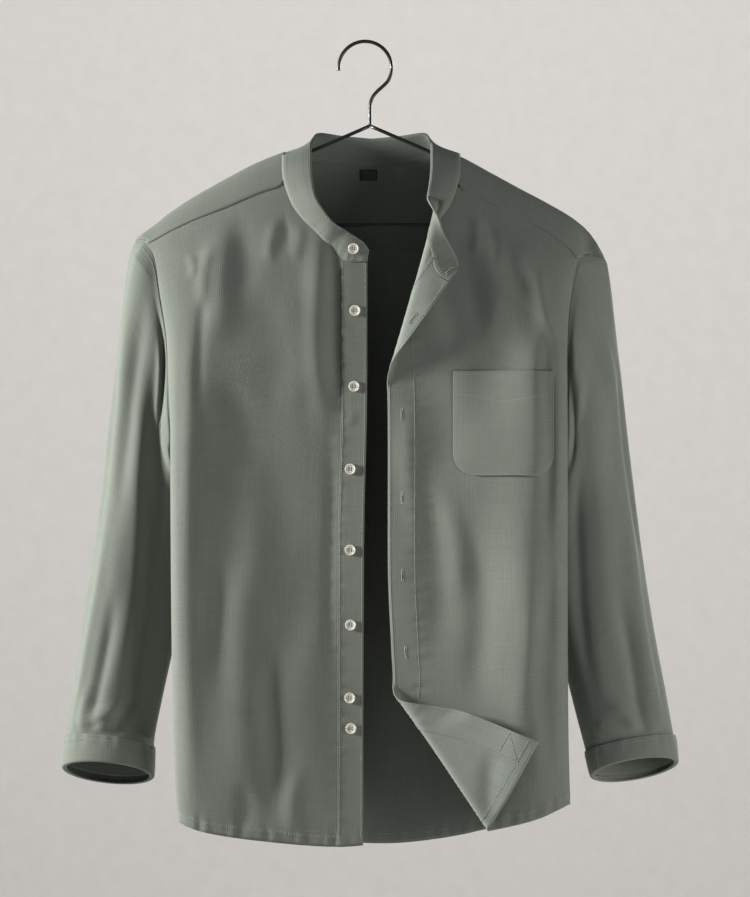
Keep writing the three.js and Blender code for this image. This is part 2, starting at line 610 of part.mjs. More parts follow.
function addSleeves() {
  const half = CLOTH / 2;
  for (const [side, name] of [[-1, 'left'], [1, 'right']]) {
    const last = LEFT_SLEEVE_ROWS.length - 1;
    const sleeve = sleeveSurface(side, last);
    const oriented = side < 0 ? (u, v) => sleeve(-u, v) : sleeve;
    addMesh(`sleeve_${name}`, wall(oriented, 20, 13, -half, half, true), COLOURS.cloth);
    const start = (last - CUFF_ROWS[name]) / last;
    const cuff = (u, v) => oriented(u, start + (1 - start) * v);
    const near = half + LAID_ON_GAP;
    addMesh(`cuff_${name}`, wall(cuff, 20, 2, near, near + CUFF_WALL, true), COLOURS.cloth);
  }
}

// The pocket follows the front panel, with round lower corners
function addPocket() {
  const surface = (across, down) => {
    const z = POCKET.top + (POCKET.bottom - POCKET.top) * down;
    const low = Math.max(POCKET.corner - (z - POCKET.bottom), 0);
    const inset = POCKET_ROUNDING * (POCKET.corner - Math.sqrt(Math.max(POCKET.corner ** 2 - low ** 2, 0)));
    const left = POCKET.left + inset;
    const right = POCKET.right - inset;
    const x = right + (left - right) * across;
    return new THREE.Vector3(x, heightAt(x, z, false), z);
  };
  const near = CLOTH / 2 + LAID_ON_GAP + POCKET_SEAT;
  addMesh('pocket', wall(surface, 8, 10, near, near + FACING_CLOTH), COLOURS.cloth);
}

// Buttons: a dished disc with a raised rim, its back on the cloth
function buttonGeometry() {
  const { radius, height, rim, dish } = BUTTON;
  const profile = [
    new THREE.Vector2(0, 0),
    new THREE.Vector2(radius * 0.85, 0),
    new THREE.Vector2(radius, height * 0.4),
    new THREE.Vector2(radius - rim * 0.4, height),
    new THREE.Vector2(radius - rim, height),
    new THREE.Vector2(radius - 2 * rim, height - dish),
    new THREE.Vector2(0, height - dish),
  ];
  return new THREE.LatheGeometry(profile, BUTTON.sides);
}

function placeButton(name, foot, normal) {
  const mesh = addMesh(name, buttonGeometry(), COLOURS.button);
  mesh.quaternion.setFromUnitVectors(new THREE.Vector3(0, 1, 0), normal);
  mesh.position.copy(foot);
}

function addButtons() {
  const { across, up, seat: collarSeat } = COLLAR_BUTTON;
  const middle = collarSurface(across, up);
  const outward = shifted(collarSurface, across, up, 1, false).sub(middle);
  const collarFoot = middle.clone().addScaledVector(outward, CLOTH / 2 + LAID_ON_GAP + collarSeat);
  placeButton('button_1', collarFoot, outward);
  const seat = CLOTH / 2 + LAID_ON_GAP + FACING_CLOTH + LAID_ON_GAP + BUTTON_SEAT;
  BUTTON_ROWS.forEach((row, index) => {
    const foot = new THREE.Vector3(row.x, heightAt(row.x, row.z, false) - seat, row.z);
    placeButton(`button_${index + 2}`, foot, new THREE.Vector3(0, -1, 0));
  });
}

// A bare label on the inside of the back yoke
function addLabel() {
  const surface = (across, down) => {
    const x = LABEL.left + (LABEL.right - LABEL.left) * across;
    const z = LABEL.top + (LABEL.bottom - LABEL.top) * down;
    return new THREE.Vector3(x, heightAt(x, z, true), z);
  };
  const near = CLOTH / 2 + LAID_ON_GAP + LABEL_SEAT;
  addMesh('neck_label', wall(surface, 2, 2, -near - FACING_CLOTH, -near), COLOURS.label);
}

// Hanger wire along a smooth path of points
function wireGeometry(points, steps) {
  const circle = new THREE.Shape();
  circle.absarc(0, 0, WIRE / 2, 0, 2 * Math.PI, false);
  const path = new THREE.CatmullRomCurve3(points, false, 'centripetal');
  return new THREE.ExtrudeGeometry(circle, { steps, curveSegments: WIRE_SIDES, extrudePath: path });
}

function addHanger() {
  const hook = [];
  const centreZ = WIRE / 2 - HOOK_RADIUS;
  for (let angle = 186; angle >= -34; angle -= 20) {
    const turn = angle * DEGREE;
    hook.push(new THREE.Vector3(HOOK_RADIUS * Math.cos(turn), 0, centreZ + HOOK_RADIUS * Math.sin(turn)));
  }
  hook.push(new THREE.Vector3(STEM_X + 4, 0, -56), new THREE.Vector3(STEM_X, 0, -66));
  hook.push(new THREE.Vector3(STEM_X, 0, STEM_FOOT));
  addMesh('hanger_hook', wireGeometry(hook, 20), COLOURS.wire);
  for (const name of ['left', 'right']) {
    const points = ARM_TOP_ROWS.map((row) => new THREE.Vector3(row[name], 0, row.z));
    for (const x of ARM_UNDER_RIDGE[name]) {
      points.push(new THREE.Vector3(x, 0, ridgeZ(x) - ARM_UNDER_RIDGE.below));
    }
    const outward = name === 'left' ? -1 : 1;
    const tip = points[points.length - 1];
    points.push(new THREE.Vector3(tip.x + outward * 9, 0, tip.z - 9));
    points.push(new THREE.Vector3(tip.x + outward * 6, 0, BAR_Z + 2));
    points.push(new THREE.Vector3(tip.x, 0, BAR_Z));
    addMesh(`hanger_arm_${name}`, wireGeometry(points, 14), COLOURS.wire);
  }
  const bar = [-BAR_LEFT, 0, BAR_RIGHT].map((x) => new THREE.Vector3(x, 0, BAR_Z));
  addMesh('hanger_bar', wireGeometry(bar, 4), COLOURS.wire);
}

addPanels();
addCollar();
addPlackets();
addSleeves();
addPocket();
addButtons();
addLabel();
addHanger();

export default shirt;
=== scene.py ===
"""Mandarin collar shirt on a wire hanger: the finish of every piece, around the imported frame."""
import math

import bpy
import mathutils
import numpy as np
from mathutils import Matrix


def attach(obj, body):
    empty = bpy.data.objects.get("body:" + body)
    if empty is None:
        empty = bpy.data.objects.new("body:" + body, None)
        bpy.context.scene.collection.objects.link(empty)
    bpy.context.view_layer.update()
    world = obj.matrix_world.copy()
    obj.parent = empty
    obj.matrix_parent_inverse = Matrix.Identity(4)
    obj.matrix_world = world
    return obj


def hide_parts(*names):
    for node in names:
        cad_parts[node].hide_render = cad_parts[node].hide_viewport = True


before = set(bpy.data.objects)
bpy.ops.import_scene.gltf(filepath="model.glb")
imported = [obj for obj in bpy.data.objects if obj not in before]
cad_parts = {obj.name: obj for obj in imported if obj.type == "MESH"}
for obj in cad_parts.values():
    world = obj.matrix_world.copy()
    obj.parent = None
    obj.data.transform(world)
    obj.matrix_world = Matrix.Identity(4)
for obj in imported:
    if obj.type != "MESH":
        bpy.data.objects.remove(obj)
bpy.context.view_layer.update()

MM = 0.001
DEGREE = math.pi / 180

# Cloth and seams, in millimetres like every size below
CLOTH = 0.9
SEAM_GAP = 0.4
FACING_CLOTH = 0.9
LAID_CLOTH = 0.35
CAD_CLOTH = 1.2

# Body tube: a flat rounded front and a narrower back
BODY_CENTRE = 3.5
NECK_CENTRE = 6.6
FRONT_SQUARENESS = 3.2
FALL_LENGTH = 180
BUTTON_STRIP = {"width": 28, "share": 3 / 17}
HOLE_STRIP = {"width": 31, "share": 5 / 24}
FRONT_ACROSS_POWER = 1.1
FRONT_DOWN_POWER = 1.35
BACK_DOWN_POWER = 1.3
SEAM_ANGLE = 0.3
TOP_STEPS = 6


def table(columns, *rows):
    """Named columns from short rows."""
    names = columns.split()
    values = np.array(rows, dtype=float)
    return {name: values[:, i] for i, name in enumerate(names)}


DEPTH = table(
    "z front fold back back_square",
    (-120, -36, -4, 50, 2.4),
    (-220, -44, -8, 52, 2.3),
    (-330, -50, -16, 50, 2.0),
    (-450, -54, -25, 46, 1.8),
    (-650, -54, -27, 42, 1.8),
    (-880, -50, -24, 40, 1.9),
)
RIDGE = table(
    "x z",
    (-256, -222), (-247, -212), (-230, -200), (-214, -187), (-186, -168.5), (-154, -150.5),
    (-122, -133.5), (-89, -120), (-60, -112), (7, -109), (72, -114), (102, -124),
    (135, -141.5), (168, -159.5), (201, -177), (229, -194), (248, -212), (262, -236),
)
LEFT_SIDE = table(
    "z half front back",
    (-219, 252, 27, 27), (-232, 240, 25, 27), (-270, 231, 22, 28), (-325, 220, 16, 26),
    (-391, 216, 8, 18), (-430, 214.5, 1, 10), (-452, 214.5, -6, 6), (-540, 214, -6, 6),
    (-650, 213, -6, 6), (-758, 211, -6, 6), (-825, 208, -6, 6), (-850, 205, -6, 6),
)
RIGHT_SIDE = table(
    "z half front back",
    (-237, 236.5, 27, 27), (-248, 231.5, 25, 27), (-264, 226, 22, 28), (-296, 219.5, 18, 27),
    (-342, 216.5, 13, 24), (-395, 216, 6, 17), (-432, 216, 0, 10), (-455, 216, -6, 6),
    (-650, 216, -6, 6), (-760, 217, -6, 6), (-830, 219, -6, 6),
)
LEFT_TOP = table(
    "out z",
    (3.5, -241.5), (24, -241), (33, -235.5), (40, -227), (51.5, -216.5), (60, -207.5),
    (73, -194.5), (83.5, -180.5), (90.5, -163.5), (95, -153), (130, -168), (200, -196), (246, -219),
)
RIGHT_TOP = table(
    "out z",
    (10.5, -241.5), (24, -241), (33, -235.5), (40, -227), (51.5, -216.5), (60, -207.5),
    (73, -194.5), (83.5, -180.5), (90.5, -166), (95, -157), (130, -174), (200, -211), (226, -237),
)
LEFT_EDGE = table("z x", (-241, 2.5), (-400, 2), (-540, -1), (-875, -2.2))
RIGHT_EDGE = table(
    "z x",
    (-240, 17), (-300, 21), (-400, 24.5), (-580, 25), (-661, 28.5), (-694, 30), (-730, 27.5),
    (-760, 21), (-790, 16.5), (-870, 16),
)
HEM = table(
    "x front back",
    (-214, -840, -840), (-200, -849, -848), (-175, -858, -857), (-118, -867, -868),
    (-30, -874, -877), (30, -869, -879), (90, -864, -872), (137, -856, -861),
    (185, -844, -846), (220, -829, -830),
)
BACK_YOKE = table("x z", (-222, -272), (-110, -236), (7, -222), (124, -238), (224, -280))
COLLAR = table(
    "out z top_out top_z lean",
    (3.5, -240.5, 2.5, -229, 2), (14, -240.8, 8, -220.5, 1), (25, -240, 16, -214.5, 0),
    (33, -235, 23, -210, -2), (40, -226.5, 30, -205.5, -4), (51.5, -216, 37.5, -201, -6),
    (60, -207, 44.5, -194.5, -8), (73, -194, 54.5, -180.5, -10), (83.5, -180, 60, -170, -11),
    (90.5, -163, 62.5, -158, -10), (95, -145.5, 64.5, -139, -7), (95.6, -121.5, 65, -111, 1),
)
COLLAR_BACK = table(
    "out z y top_out top_z top_y",
    (95.6, -121.5, 0, 65, -111, 1), (84, -122.6, 13.6, 63.5, -104, 9), (64, -127, 20.8, 57, -97, 15.5),
    (34, -131, 24.2, 32, -100, 19), (0, -133.2, 26, 0, -103, 21),
)
COLLAR_FOOT_SHARE = 0.045
COLLAR_FOOT_LIFT = 0.8
LAPEL = {
    "x": 79, "z": -200, "along_x": -0.285, "along_z": -0.958,
    "rows": table("at sweep radius", (-28, 0, 9), (6, 168, 7), (60, 166, 5.5), (120, 163, 5),
                  (150, 120, 5), (205, 0, 5)),
}
CORNER = {
    "x": 52.5, "z": -726, "along_x": 0.55, "along_z": -0.835,
    "rows": table("at sweep radius", (-46, 0, 9), (-8, 165, 7), (40, 175, 5.5), (160, 174, 4.5)),
}
YOKE_EDGE = table(
    "x z behind start_x",
    (-239, 0, 0, -212), (-214, 0, 0, -196), (-180, 0, 0, -168), (-145, 0, 0, -140),
    (-112, 0, 0, -114), (-90, 0, 0, -92), (-90.5, -134, 0, -82), (-90, -122, 1, -72),
    (-78, -123, 1, -62), (-58, -127.5, 1, -48), (-28, -131.5, 1, -24), (6.6, -133.5, 1, 6.6),
    (41, -131.5, 1, 37), (71, -128, 1, 61), (91, -126, 1, 75), (103, -126.5, 1, 86),
    (103.8, -139, 0, 96), (103.2, 0, 0, 106), (125, 0, 0, 127), (158, 0, 0, 153),
    (190, 0, 0, 180), (214, 0, 0, 201), (231, 0, 0, 216),
)
YOKE_END = {
    -1: {"bulge": -17.5, "front": 0.352, "front_power": 1.9, "back": 0.54, "back_power": 3},
    1: {"bulge": 36.2, "front": 0.69, "front_power": 2.2, "back": 0.74, "back_power": 3.3},
}
LEFT_SLEEVE = table(
    "out_x out_z in_x in_z y depth tilt",
    (-251, -217, -209, -453, -8, 26, 0), (-259, -250, -206, -470, -2, 33, 0),
    (-267, -302, -202, -492, 8, 36, 0), (-274, -362, -199, -518, 15, 36, 0),
    (-282, -424, -198, -548, 19, 34, 0), (-289, -488, -199, -584, 20, 33, 0),
    (-297, -552, -203, -624, 20, 32, 0), (-307, -618, -211, -666, 17, 31, 1),
    (-317, -690, -222, -716, 12, 30, 3), (-326, -750, -231, -763, 7, 29, 9),
    (-330, -792, -233, -801, 5, 29, 14),
)
RIGHT_SLEEVE = table(
    "out_x out_z in_x in_z y depth tilt",
    (262, -236, 221, -456, -8, 26, 0), (268, -270, 219, -474, -2, 33, 0),
    (274, -314, 215, -497, 8, 36, 0), (281, -368, 211, -524, 15, 36, 0),
    (288, -430, 206, -556, 19, 34, 0), (296, -496, 207, -593, 20, 33, 0),
    (305, -566, 211, -635, 20, 32, 0), (316, -638, 219, -681, 17, 31, 1),
    (328, -704, 230, -728, 12, 30, 3), (337, -756, 242, -774, 7, 29, 9),
    (341, -786, 248, -800, 5, 29, 14),
)
SEAM_TUCK = {"rows": 0.18, "out": 1.2, "in": 4.5, "under": 1.4, "up": 5}
HEAD_BLEND_ROWS = 3
ROW_LENGTH = 50
CUFF_START = {-1: 9.2, 1: 9.05}
POCKET = {"left": 95.5, "right": 203.5, "top": -359.5, "bottom": -472.5, "corner": 24}
BUTTON = {"radius": 5.8, "height": 2.6, "rim": 0.9, "dish": 0.7}
BUTTON_PLACES = table(
    "x z", (-10.8, -294), (-11.9, -376), (-16, -465.5), (-16, -553), (-15.6, -634),
    (-16.5, -713), (-15.2, -746),
)
COLLAR_BUTTON_SHARE = 0.0625
HOLE_PLACES = table("z across", (-296, 0.3), (-407, 0.5), (-497, 0.5), (-581, 0.5), (-664, 0.5))
LABEL = {"left": -5.5, "right": 13, "top": -137, "bottom": -148}
WIRE = 4
HOOK_RADIUS = 29
STEM_X = 5.3
STEM_FOOT = -91.5
ARM_TOP = table("left right z", (4.2, 6.4, -91), (-57, 68, -117.5), (-78, 88, -126.5))
ARM_UNDER_RIDGE = {"left": (-100, -122, -154, -186), "right": (112, 135, 168, 196), "below": 5.4}
BAR_Z = -199
BAR_ENDS = (-185, 195)

# Soft creases, listed: a line on the panel, how wide, and how far it stands out (or in)
FRONT_CREASES = table(
    "x0 z0 x1 z1 width rise",
    (-30, -100, -10, -1040, 100, -9), (-192, -120, -198, -1040, 46, 7),
    (-194, -250, -192, -900, 13, 4.5), (-146, -300, -148, -850, 22, -2.6),
    (-205, -262, -205, -820, 6, 1.6), (-176, -250, -180, -420, 6, -1.6),
    (-148, -188, -166, -340, 17, 4.2), (-128, -180, -141, -300, 15, -2.0),
    (-118, -470, -142, -856, 26, 4.6), (-158, -540, -156, -720, 11, -2.8),
    (-104, -330, -98, -610, 24, -2.6), (-62, -560, -52, -868, 24, 2.4),
    (-98, -640, -100, -862, 14, -4.0), (-38, -185, -26, -420, 8, -4.6),
    (-56, -180, -46, -440, 12, 4.0), (-38, -400, -37, -720, 7, -2.0),
    (-152, -360, -112, -480, 16, -2.4), (-78, -250, -70, -420, 18, 2.2),
    (-74, -780, -82, -872, 10, 2.0), (-128, -800, -134, -866, 9, -1.8),
    (168, -460, 188, -900, 24, 7), (118, -510, 130, -740, 17, -4.2),
    (198, -285, 196, -560, 9, -4.4), (196, -540, 193, -826, 11, -5.2),
    (209, -300, 209, -800, 7, 2.4), (118, -196, 152, -346, 17, 4.2),
    (148, -203, 190, -340, 12, -3.6), (60, -440, 86, -700, 20, -3.6),
    (46, -380, 56, -580, 12, 2.8), (182, -640, 176, -842, 12, -3.0),
    (84, -240, 98, -352, 14, -3.0), (176, -240, 208, -330, 9, 3.0),
    (92, -480, 104, -620, 12, 2.4), (132, -760, 138, -858, 10, -2.4),
    (182, -190, 202, -940, 56, 18), (66, -300, 84, -500, 30, -4),
    (104, -170, 146, -440, 36, -8),
    (-100, -190, -104, -250, 6, 1.5), (-84, -186, -88, -236, 5, -1.3), (-70, -196, -74, -246, 6, 1.3),
    (-168, -214, -180, -300, 7, 2.6), (118, -184, 124, -240, 6, 1.6), (136, -192, 142, -250, 6, -1.5),
    (-150, -620, -40, -640, 40, -1.2), (-24, -300, -8, -318, 5, -0.7), (-24, -420, -8, -404, 5, 0.7),
    (-190, -230, -184, -262, 5, 1.8),
)
BACK_CREASES = table(
    "x0 z0 x1 z1 width rise",
    (-66, -250, -92, -866, 26, 5.2), (-38, -300, -40, -700, 15, -4.2),
    (70, -256, 96, -868, 28, 5.0), (36, -420, 30, -870, 16, -4.0),
    (0, -250, -6, -540, 15, 3.4), (-128, -290, -150, -800, 20, -4.6),
    (136, -300, 152, -820, 22, -4.4), (-166, -420, -172, -842, 14, 3.6),
    (172, -380, 178, -820, 15, 3.4), (-20, -560, -26, -870, 18, 3.0),
    (-150, -300, -96, -350, 14, 2.4), (160, -310, 104, -352, 13, 2.4),
)
# Along a sleeve: degrees round it, 90 at the front, and millimetres down it
LEFT_SLEEVE_CREASES = table(
    "turn0 down0 turn1 down1 width rise",
    (112, -170, 122, 450, 34, -15), (142, 60, 148, 640, 27, -7), (30, -150, 34, 240, 17, 7),
    (52, 100, 66, 700, 22, 4),
    (52, 30, 60, 300, 11, -3.6), (76, 90, 96, 450, 13, 3.4), (106, 150, 114, 470, 9, -4.4),
    (40, 240, 38, 490, 9, 3.6), (130, 90, 140, 390, 12, 3.6), (66, 310, 70, 492, 8, -4.2),
    (28, 80, 22, 310, 10, -3.2), (104, 418, 54, 452, 9, 3.6), (124, 396, 88, 478, 8, -3.6),
    (60, 462, 100, 486, 7, 2.6), (82, 20, 104, 120, 9, 4.0), (120, 10, 134, 110, 9, -4.0),
    (240, 75, 250, 400, 14, 3.6), (270, 125, 262, 450, 12, -4.0), (300, 150, 306, 430, 13, 3.4),
    (212, 210, 216, 460, 11, -3.4), (92, 440, 62, 470, 5, 2.4), (112, 448, 132, 484, 5, 2.2),
    (74, 452, 84, 486, 5, -2.2), (48, 400, 58, 480, 6, 2.2),
)
RIGHT_SLEEVE_CREASES = table(
    "turn0 down0 turn1 down1 width rise",
    (60, -170, 70, 640, 24, 3), (116, -100, 122, 600, 26, 5),
    (60, 20, 52, 230, 12, -3.6), (86, 60, 84, 400, 14, 3.4), (112, 110, 120, 430, 9, -4.4),
    (44, 200, 46, 480, 10, 3.8), (134, 70, 144, 360, 11, 3.4), (68, 290, 74, 490, 8, -4.2),
    (26, 90, 20, 330, 9, -3.2), (112, 400, 66, 446, 9, 3.8), (128, 424, 96, 482, 7, -3.4),
    (48, 440, 84, 480, 8, 3.0), (78, 10, 96, 100, 10, 4.0), (100, 14, 124, 130, 9, -4.2),
    (236, 60, 252, 380, 14, 3.6), (274, 140, 262, 460, 11, -4.0), (304, 120, 300, 400, 13, 3.4),
    (208, 180, 220, 450, 11, -3.4), (84, 484, 116, 448, 5, 2.8), (116, 448, 126, 420, 5, 2.0),
    (60, 452, 74, 484, 5, -2.2), (132, 440, 142, 482, 5, 2.0),
)


# Geometry shared with the solids

def along(rows, key, column, at):
    """Smooth value of a column between the rows of a table."""
    keys = rows[key]
    values = rows[column]
    if keys[-1] < keys[0]:
        keys = keys[::-1]
        values = values[::-1]
    at = np.clip(np.asarray(at, dtype=float), keys[0], keys[-1])
    last = len(keys) - 1
    i = np.clip(np.searchsorted(keys, at, side="right") - 1, 0, last - 1)
    before = np.maximum(i - 1, 0)
    after = np.minimum(i + 2, last)
    span = keys[i + 1] - keys[i]
    start = (values[i + 1] - values[before]) / (keys[i + 1] - keys[before])
    end = (values[after] - values[i]) / (keys[after] - keys[i])
    t = (at - keys[i]) / span
    t2 = t * t
    t3 = t2 * t
    blend = 3 * t2 - 2 * t3
    slopes = span * (start * (t3 - 2 * t2 + t) + end * (t3 - t2))
    return values[i] * (1 - blend) + values[i + 1] * blend + slopes


def indexed(rows):
    """The same table with its row numbers as a column."""
    some = next(iter(rows.values()))
    return {**rows, "index": np.arange(len(some), dtype=float)}


def ridge_z(x):
    return along(RIDGE, "x", "z", x)


def fall(x, z):
    share = np.clip((ridge_z(x) - z) / FALL_LENGTH, 0, 1)
    return np.sqrt(1 - (1 - share) ** 2)


def side_rows(side):
    return LEFT_SIDE if side < 0 else RIGHT_SIDE


def tube_shape(side, z, back):
    half = along(side_rows(side), "z", "half", z)
    power = along(DEPTH, "z", "back_square", z) if back else FRONT_SQUARENESS
    fold = along(DEPTH, "z", "fold", z)
    deep = along(DEPTH, "z", "back" if back else "front", z)
    return half, power, fold, deep


def creased(rows, x, z):
    """How far the listed creases move the cloth out at a place on a panel."""
    total = np.zeros(np.broadcast(x, z).shape)
    for x0, z0, x1, z1, width, rise in zip(*rows.values()):
        run_x = x1 - x0
        run_z = z1 - z0
        length = run_x ** 2 + run_z ** 2
        t = ((x - x0) * run_x + (z - z0) * run_z) / length
        taper = np.clip(np.minimum(t, 1 - t) / 0.35, 0, 1)
        taper = taper * taper * (3 - 2 * taper)
        sway = 0.22 * width * np.sin(t * 7.3 + x0)
        away = ((x - x0) * run_z - (z - z0) * run_x) / math.sqrt(length) + sway
        total = total + rise * taper * np.exp(-((away / width) ** 2))
    return total


def seam_pucker(distance, run, reach, rise):
    """Small waves that sewing draws into the cloth beside a seam."""
    wave = np.sin(run * 0.43) + 0.8 * np.sin(run * 0.26 + 1.3) + 0.5 * np.sin(run * 0.61 + 0.4)
    return rise * wave * np.exp(-((distance / reach) ** 2))


def relief(x, z, back):
    """Creases and puckers of fronts or back, outwards."""
    hem = along(HEM, "x", "back" if back else "front", x)
    total = creased(BACK_CREASES if back else FRONT_CREASES, x, z)
    total = total + seam_pucker(z - hem - 5, x, 10, 0.42)
    total = total + 0.35 * np.sin(x * 0.043 + z * 0.011) * np.sin(z * 0.019 - x * 0.008)
    if not back:
        left = seam_pucker(x - along(LEFT_EDGE, "z", "x", z) + 28, z, 8, 0.3)
        from_edge = x - along(RIGHT_EDGE, "z", "x", z)
        right = seam_pucker(from_edge - 31, z + 40, 9, 0.32)
        past_fold = (x - CORNER["x"]) * CORNER["along_z"] - (z - CORNER["z"]) * CORNER["along_x"]
        flap = seam_pucker(from_edge - 12, z, 11, 0.5) * np.clip((past_fold - 14) / 14, 0, 1)
        total = total + left + right + flap * (x > BODY_CENTRE)
    fade = np.clip((ridge_z(x) - z) / 30, 0, 1)
    return total * fade


def tube_point(side, z, angle, back):
    half, power, fold, deep = tube_shape(side, z, back)
    cosine = np.cos(angle * DEGREE)
    sine = np.sin(angle * DEGREE)
    size = (np.abs(cosine) ** power + np.abs(sine) ** power) ** (1 / power)
    x = BODY_CENTRE + side * half * cosine / size
    y = (fold + (deep - fold) * sine / size) * fall(x, z)
    outward = 1 if back else -1
    facing = np.clip(np.abs(angle) / 20, 0, 1)
    return x, y + outward * facing * relief(x, z, back), z + 0 * x


def body_point(side, z, angle, back):
    here = tube_point(side, z, np.maximum(angle, 0), back)
    beyond = tube_point(side, z, np.maximum(-angle, 0), not back)
    return tuple(np.where(angle >= 0, a, b) for a, b in zip(here, beyond))


def angle_at(side, x, z, back):
    half, power, _, _ = tube_shape(side, z, back)
    reach = np.clip(np.abs(x - BODY_CENTRE) / half, 0.0001, 0.9999)
    return np.arctan((reach ** -power - 1) ** (1 / power)) / DEGREE


def height_at(x, z, back):
    left = tube_point(-1, z, angle_at(-1, x, z, back), back)[1]
    right = tube_point(1, z, angle_at(1, x, z, back), back)[1]
    return np.where(x < BODY_CENTRE, left, right)


def rolled(x, z, roll):
    """Cloth beyond a roll line turns over towards the viewer."""
    normal_x = roll["along_z"]
    normal_z = -roll["along_x"]
    at = (x - roll["x"]) * roll["along_x"] + (z - roll["z"]) * roll["along_z"]
    beyond = (x - roll["x"]) * normal_x + (z - roll["z"]) * normal_z
    sweep = np.clip(along(roll["rows"], "at", "sweep", at), 0, 180) * DEGREE
    radius = along(roll["rows"], "at", "radius", at)
    beyond = np.where(sweep > 0, np.maximum(beyond, 0), 0)
    turned = np.minimum(beyond / radius, sweep)
    straight = beyond - radius * turned
    moved = radius * np.sin(turned) + straight * np.cos(turned)
    rise = radius * (1 - np.cos(turned)) + straight * np.sin(turned)
    return x + (moved - beyond) * normal_x, z + (moved - beyond) * normal_z, rise


def turn_over(x, y, z):
    """Both rolls of the open front, carried by the cloth that lies under them."""
    for roll in (LAPEL, CORNER):
        new_x, new_z, rise = rolled(x, z, roll)
        blend = np.clip(rise / CAD_CLOTH, 0, 1)
        ground = height_at(new_x, new_z, False)
        y = np.where(rise > 0, y + (ground - y) * blend - rise, y)
        x = np.where(rise > 0, new_x, x)
        z = np.where(rise > 0, new_z, z)
    return x, y, z


def edge_x(side, z):
    return along(LEFT_EDGE if side < 0 else RIGHT_EDGE, "z", "x", z)


def front_x(side, across, z):
    strip = BUTTON_STRIP if side < 0 else HOLE_STRIP
    edge = edge_x(side, z)
    strip_x = edge + side * strip["width"] * across / strip["share"]
    strip_y = height_at(strip_x, z, False)
    share = np.clip((across - strip["share"]) / (1 - strip["share"]), 0, 1) ** FRONT_ACROSS_POWER
    start = angle_at(side, edge + side * strip["width"], z, False)
    end = along(side_rows(side), "z", "front", z) + SEAM_ANGLE
    x, y, _ = body_point(side, z, start + (end - start) * share, False)
    near = across < strip["share"]
    return np.where(near, strip_x, x), np.where(near, strip_y, y), z


def front_top(side, x):
    return along(LEFT_TOP if side < 0 else RIGHT_TOP, "out", "z", np.abs(x - NECK_CENTRE)) - SEAM_GAP


def front_surface(side):
    def surface(across, down):
        top = np.full_like(across, -240.0)
        hem = np.full_like(across, -850.0)
        for _ in range(TOP_STEPS):
            top = front_top(side, front_x(side, across, top)[0])
            hem = along(HEM, "x", "front", front_x(side, across, hem)[0])
        z = top + (hem - top) * np.maximum(down, 0) ** FRONT_DOWN_POWER
        x, y, z = front_x(side, across, z)
        return (x, y, z) if side < 0 else turn_over(x, y, z)
    return surface


def back_x(share, z):
    local = np.where(share < 0.5, share * 2, (1 - share) * 2)
    result = []
    for side in (-1, 1):
        start = along(side_rows(side), "z", "back", z) + SEAM_ANGLE
        result.append(body_point(side, z, start + (90 - start) * local, True))
    return tuple(np.where(share < 0.5, a, b) for a, b in zip(*result))


def back_surface(across, down):
    top = np.full_like(across, -240.0)
    hem = np.full_like(across, -850.0)
    for _ in range(TOP_STEPS):
        top = along(BACK_YOKE, "x", "z", back_x(across, top)[0]) - SEAM_GAP
        hem = along(HEM, "x", "back", back_x(across, hem)[0])
    return back_x(across, top + (hem - top) * np.maximum(down, 0) ** BACK_DOWN_POWER)


def lean_of(x, z):
    return np.arccos(1 - np.clip((ridge_z(x) - z) / FALL_LENGTH, 0, 1))


def yoke_table():
    x = YOKE_EDGE["x"]
    seam = np.where(x < NECK_CENTRE, front_top(-1, x), front_top(1, x)) - SEAM_GAP
    z = np.where(YOKE_EDGE["z"] == 0, seam, YOKE_EDGE["z"])
    lean = lean_of(x, z) * np.where(YOKE_EDGE["behind"] > 0, -1, 1)
    start_x = YOKE_EDGE["start_x"]
    back_z = along(BACK_YOKE, "x", "z", start_x) - SEAM_GAP
    return indexed({"x": x, "lean": lean, "start_x": start_x, "start_lean": -lean_of(start_x, back_z)})


YOKE = yoke_table()


def yoke_surface(across, down):
    last = len(YOKE["x"]) - 1
    at = across * last
    start_lean = along(YOKE, "index", "start_lean", at)
    lean = start_lean + (along(YOKE, "index", "lean", at) - start_lean) * down
    start_x = along(YOKE, "index", "start_x", at)
    x = start_x + (along(YOKE, "index", "x", at) - start_x) * down
    end_share = np.clip(1 - np.minimum(at, last - at) / 1.5, 0, 1) ** 2
    for side, near in ((-1, at < 5), (1, at > last - 5)):
        end = YOKE_END[side]
        before = (np.maximum(lean, 0) / end["front"]) ** end["front_power"]
        behind = (np.maximum(-lean, 0) / end["back"]) ** end["back_power"]
        bulge = end["bulge"] * end_share * np.maximum(1 - before - behind, 0)
        x = x + np.where(near, bulge, 0)
    z = ridge_z(x) - FALL_LENGTH * (1 - np.cos(lean))
    y = np.where(lean < 0, height_at(x, z, True), height_at(x, z, False))
    return x, y, z


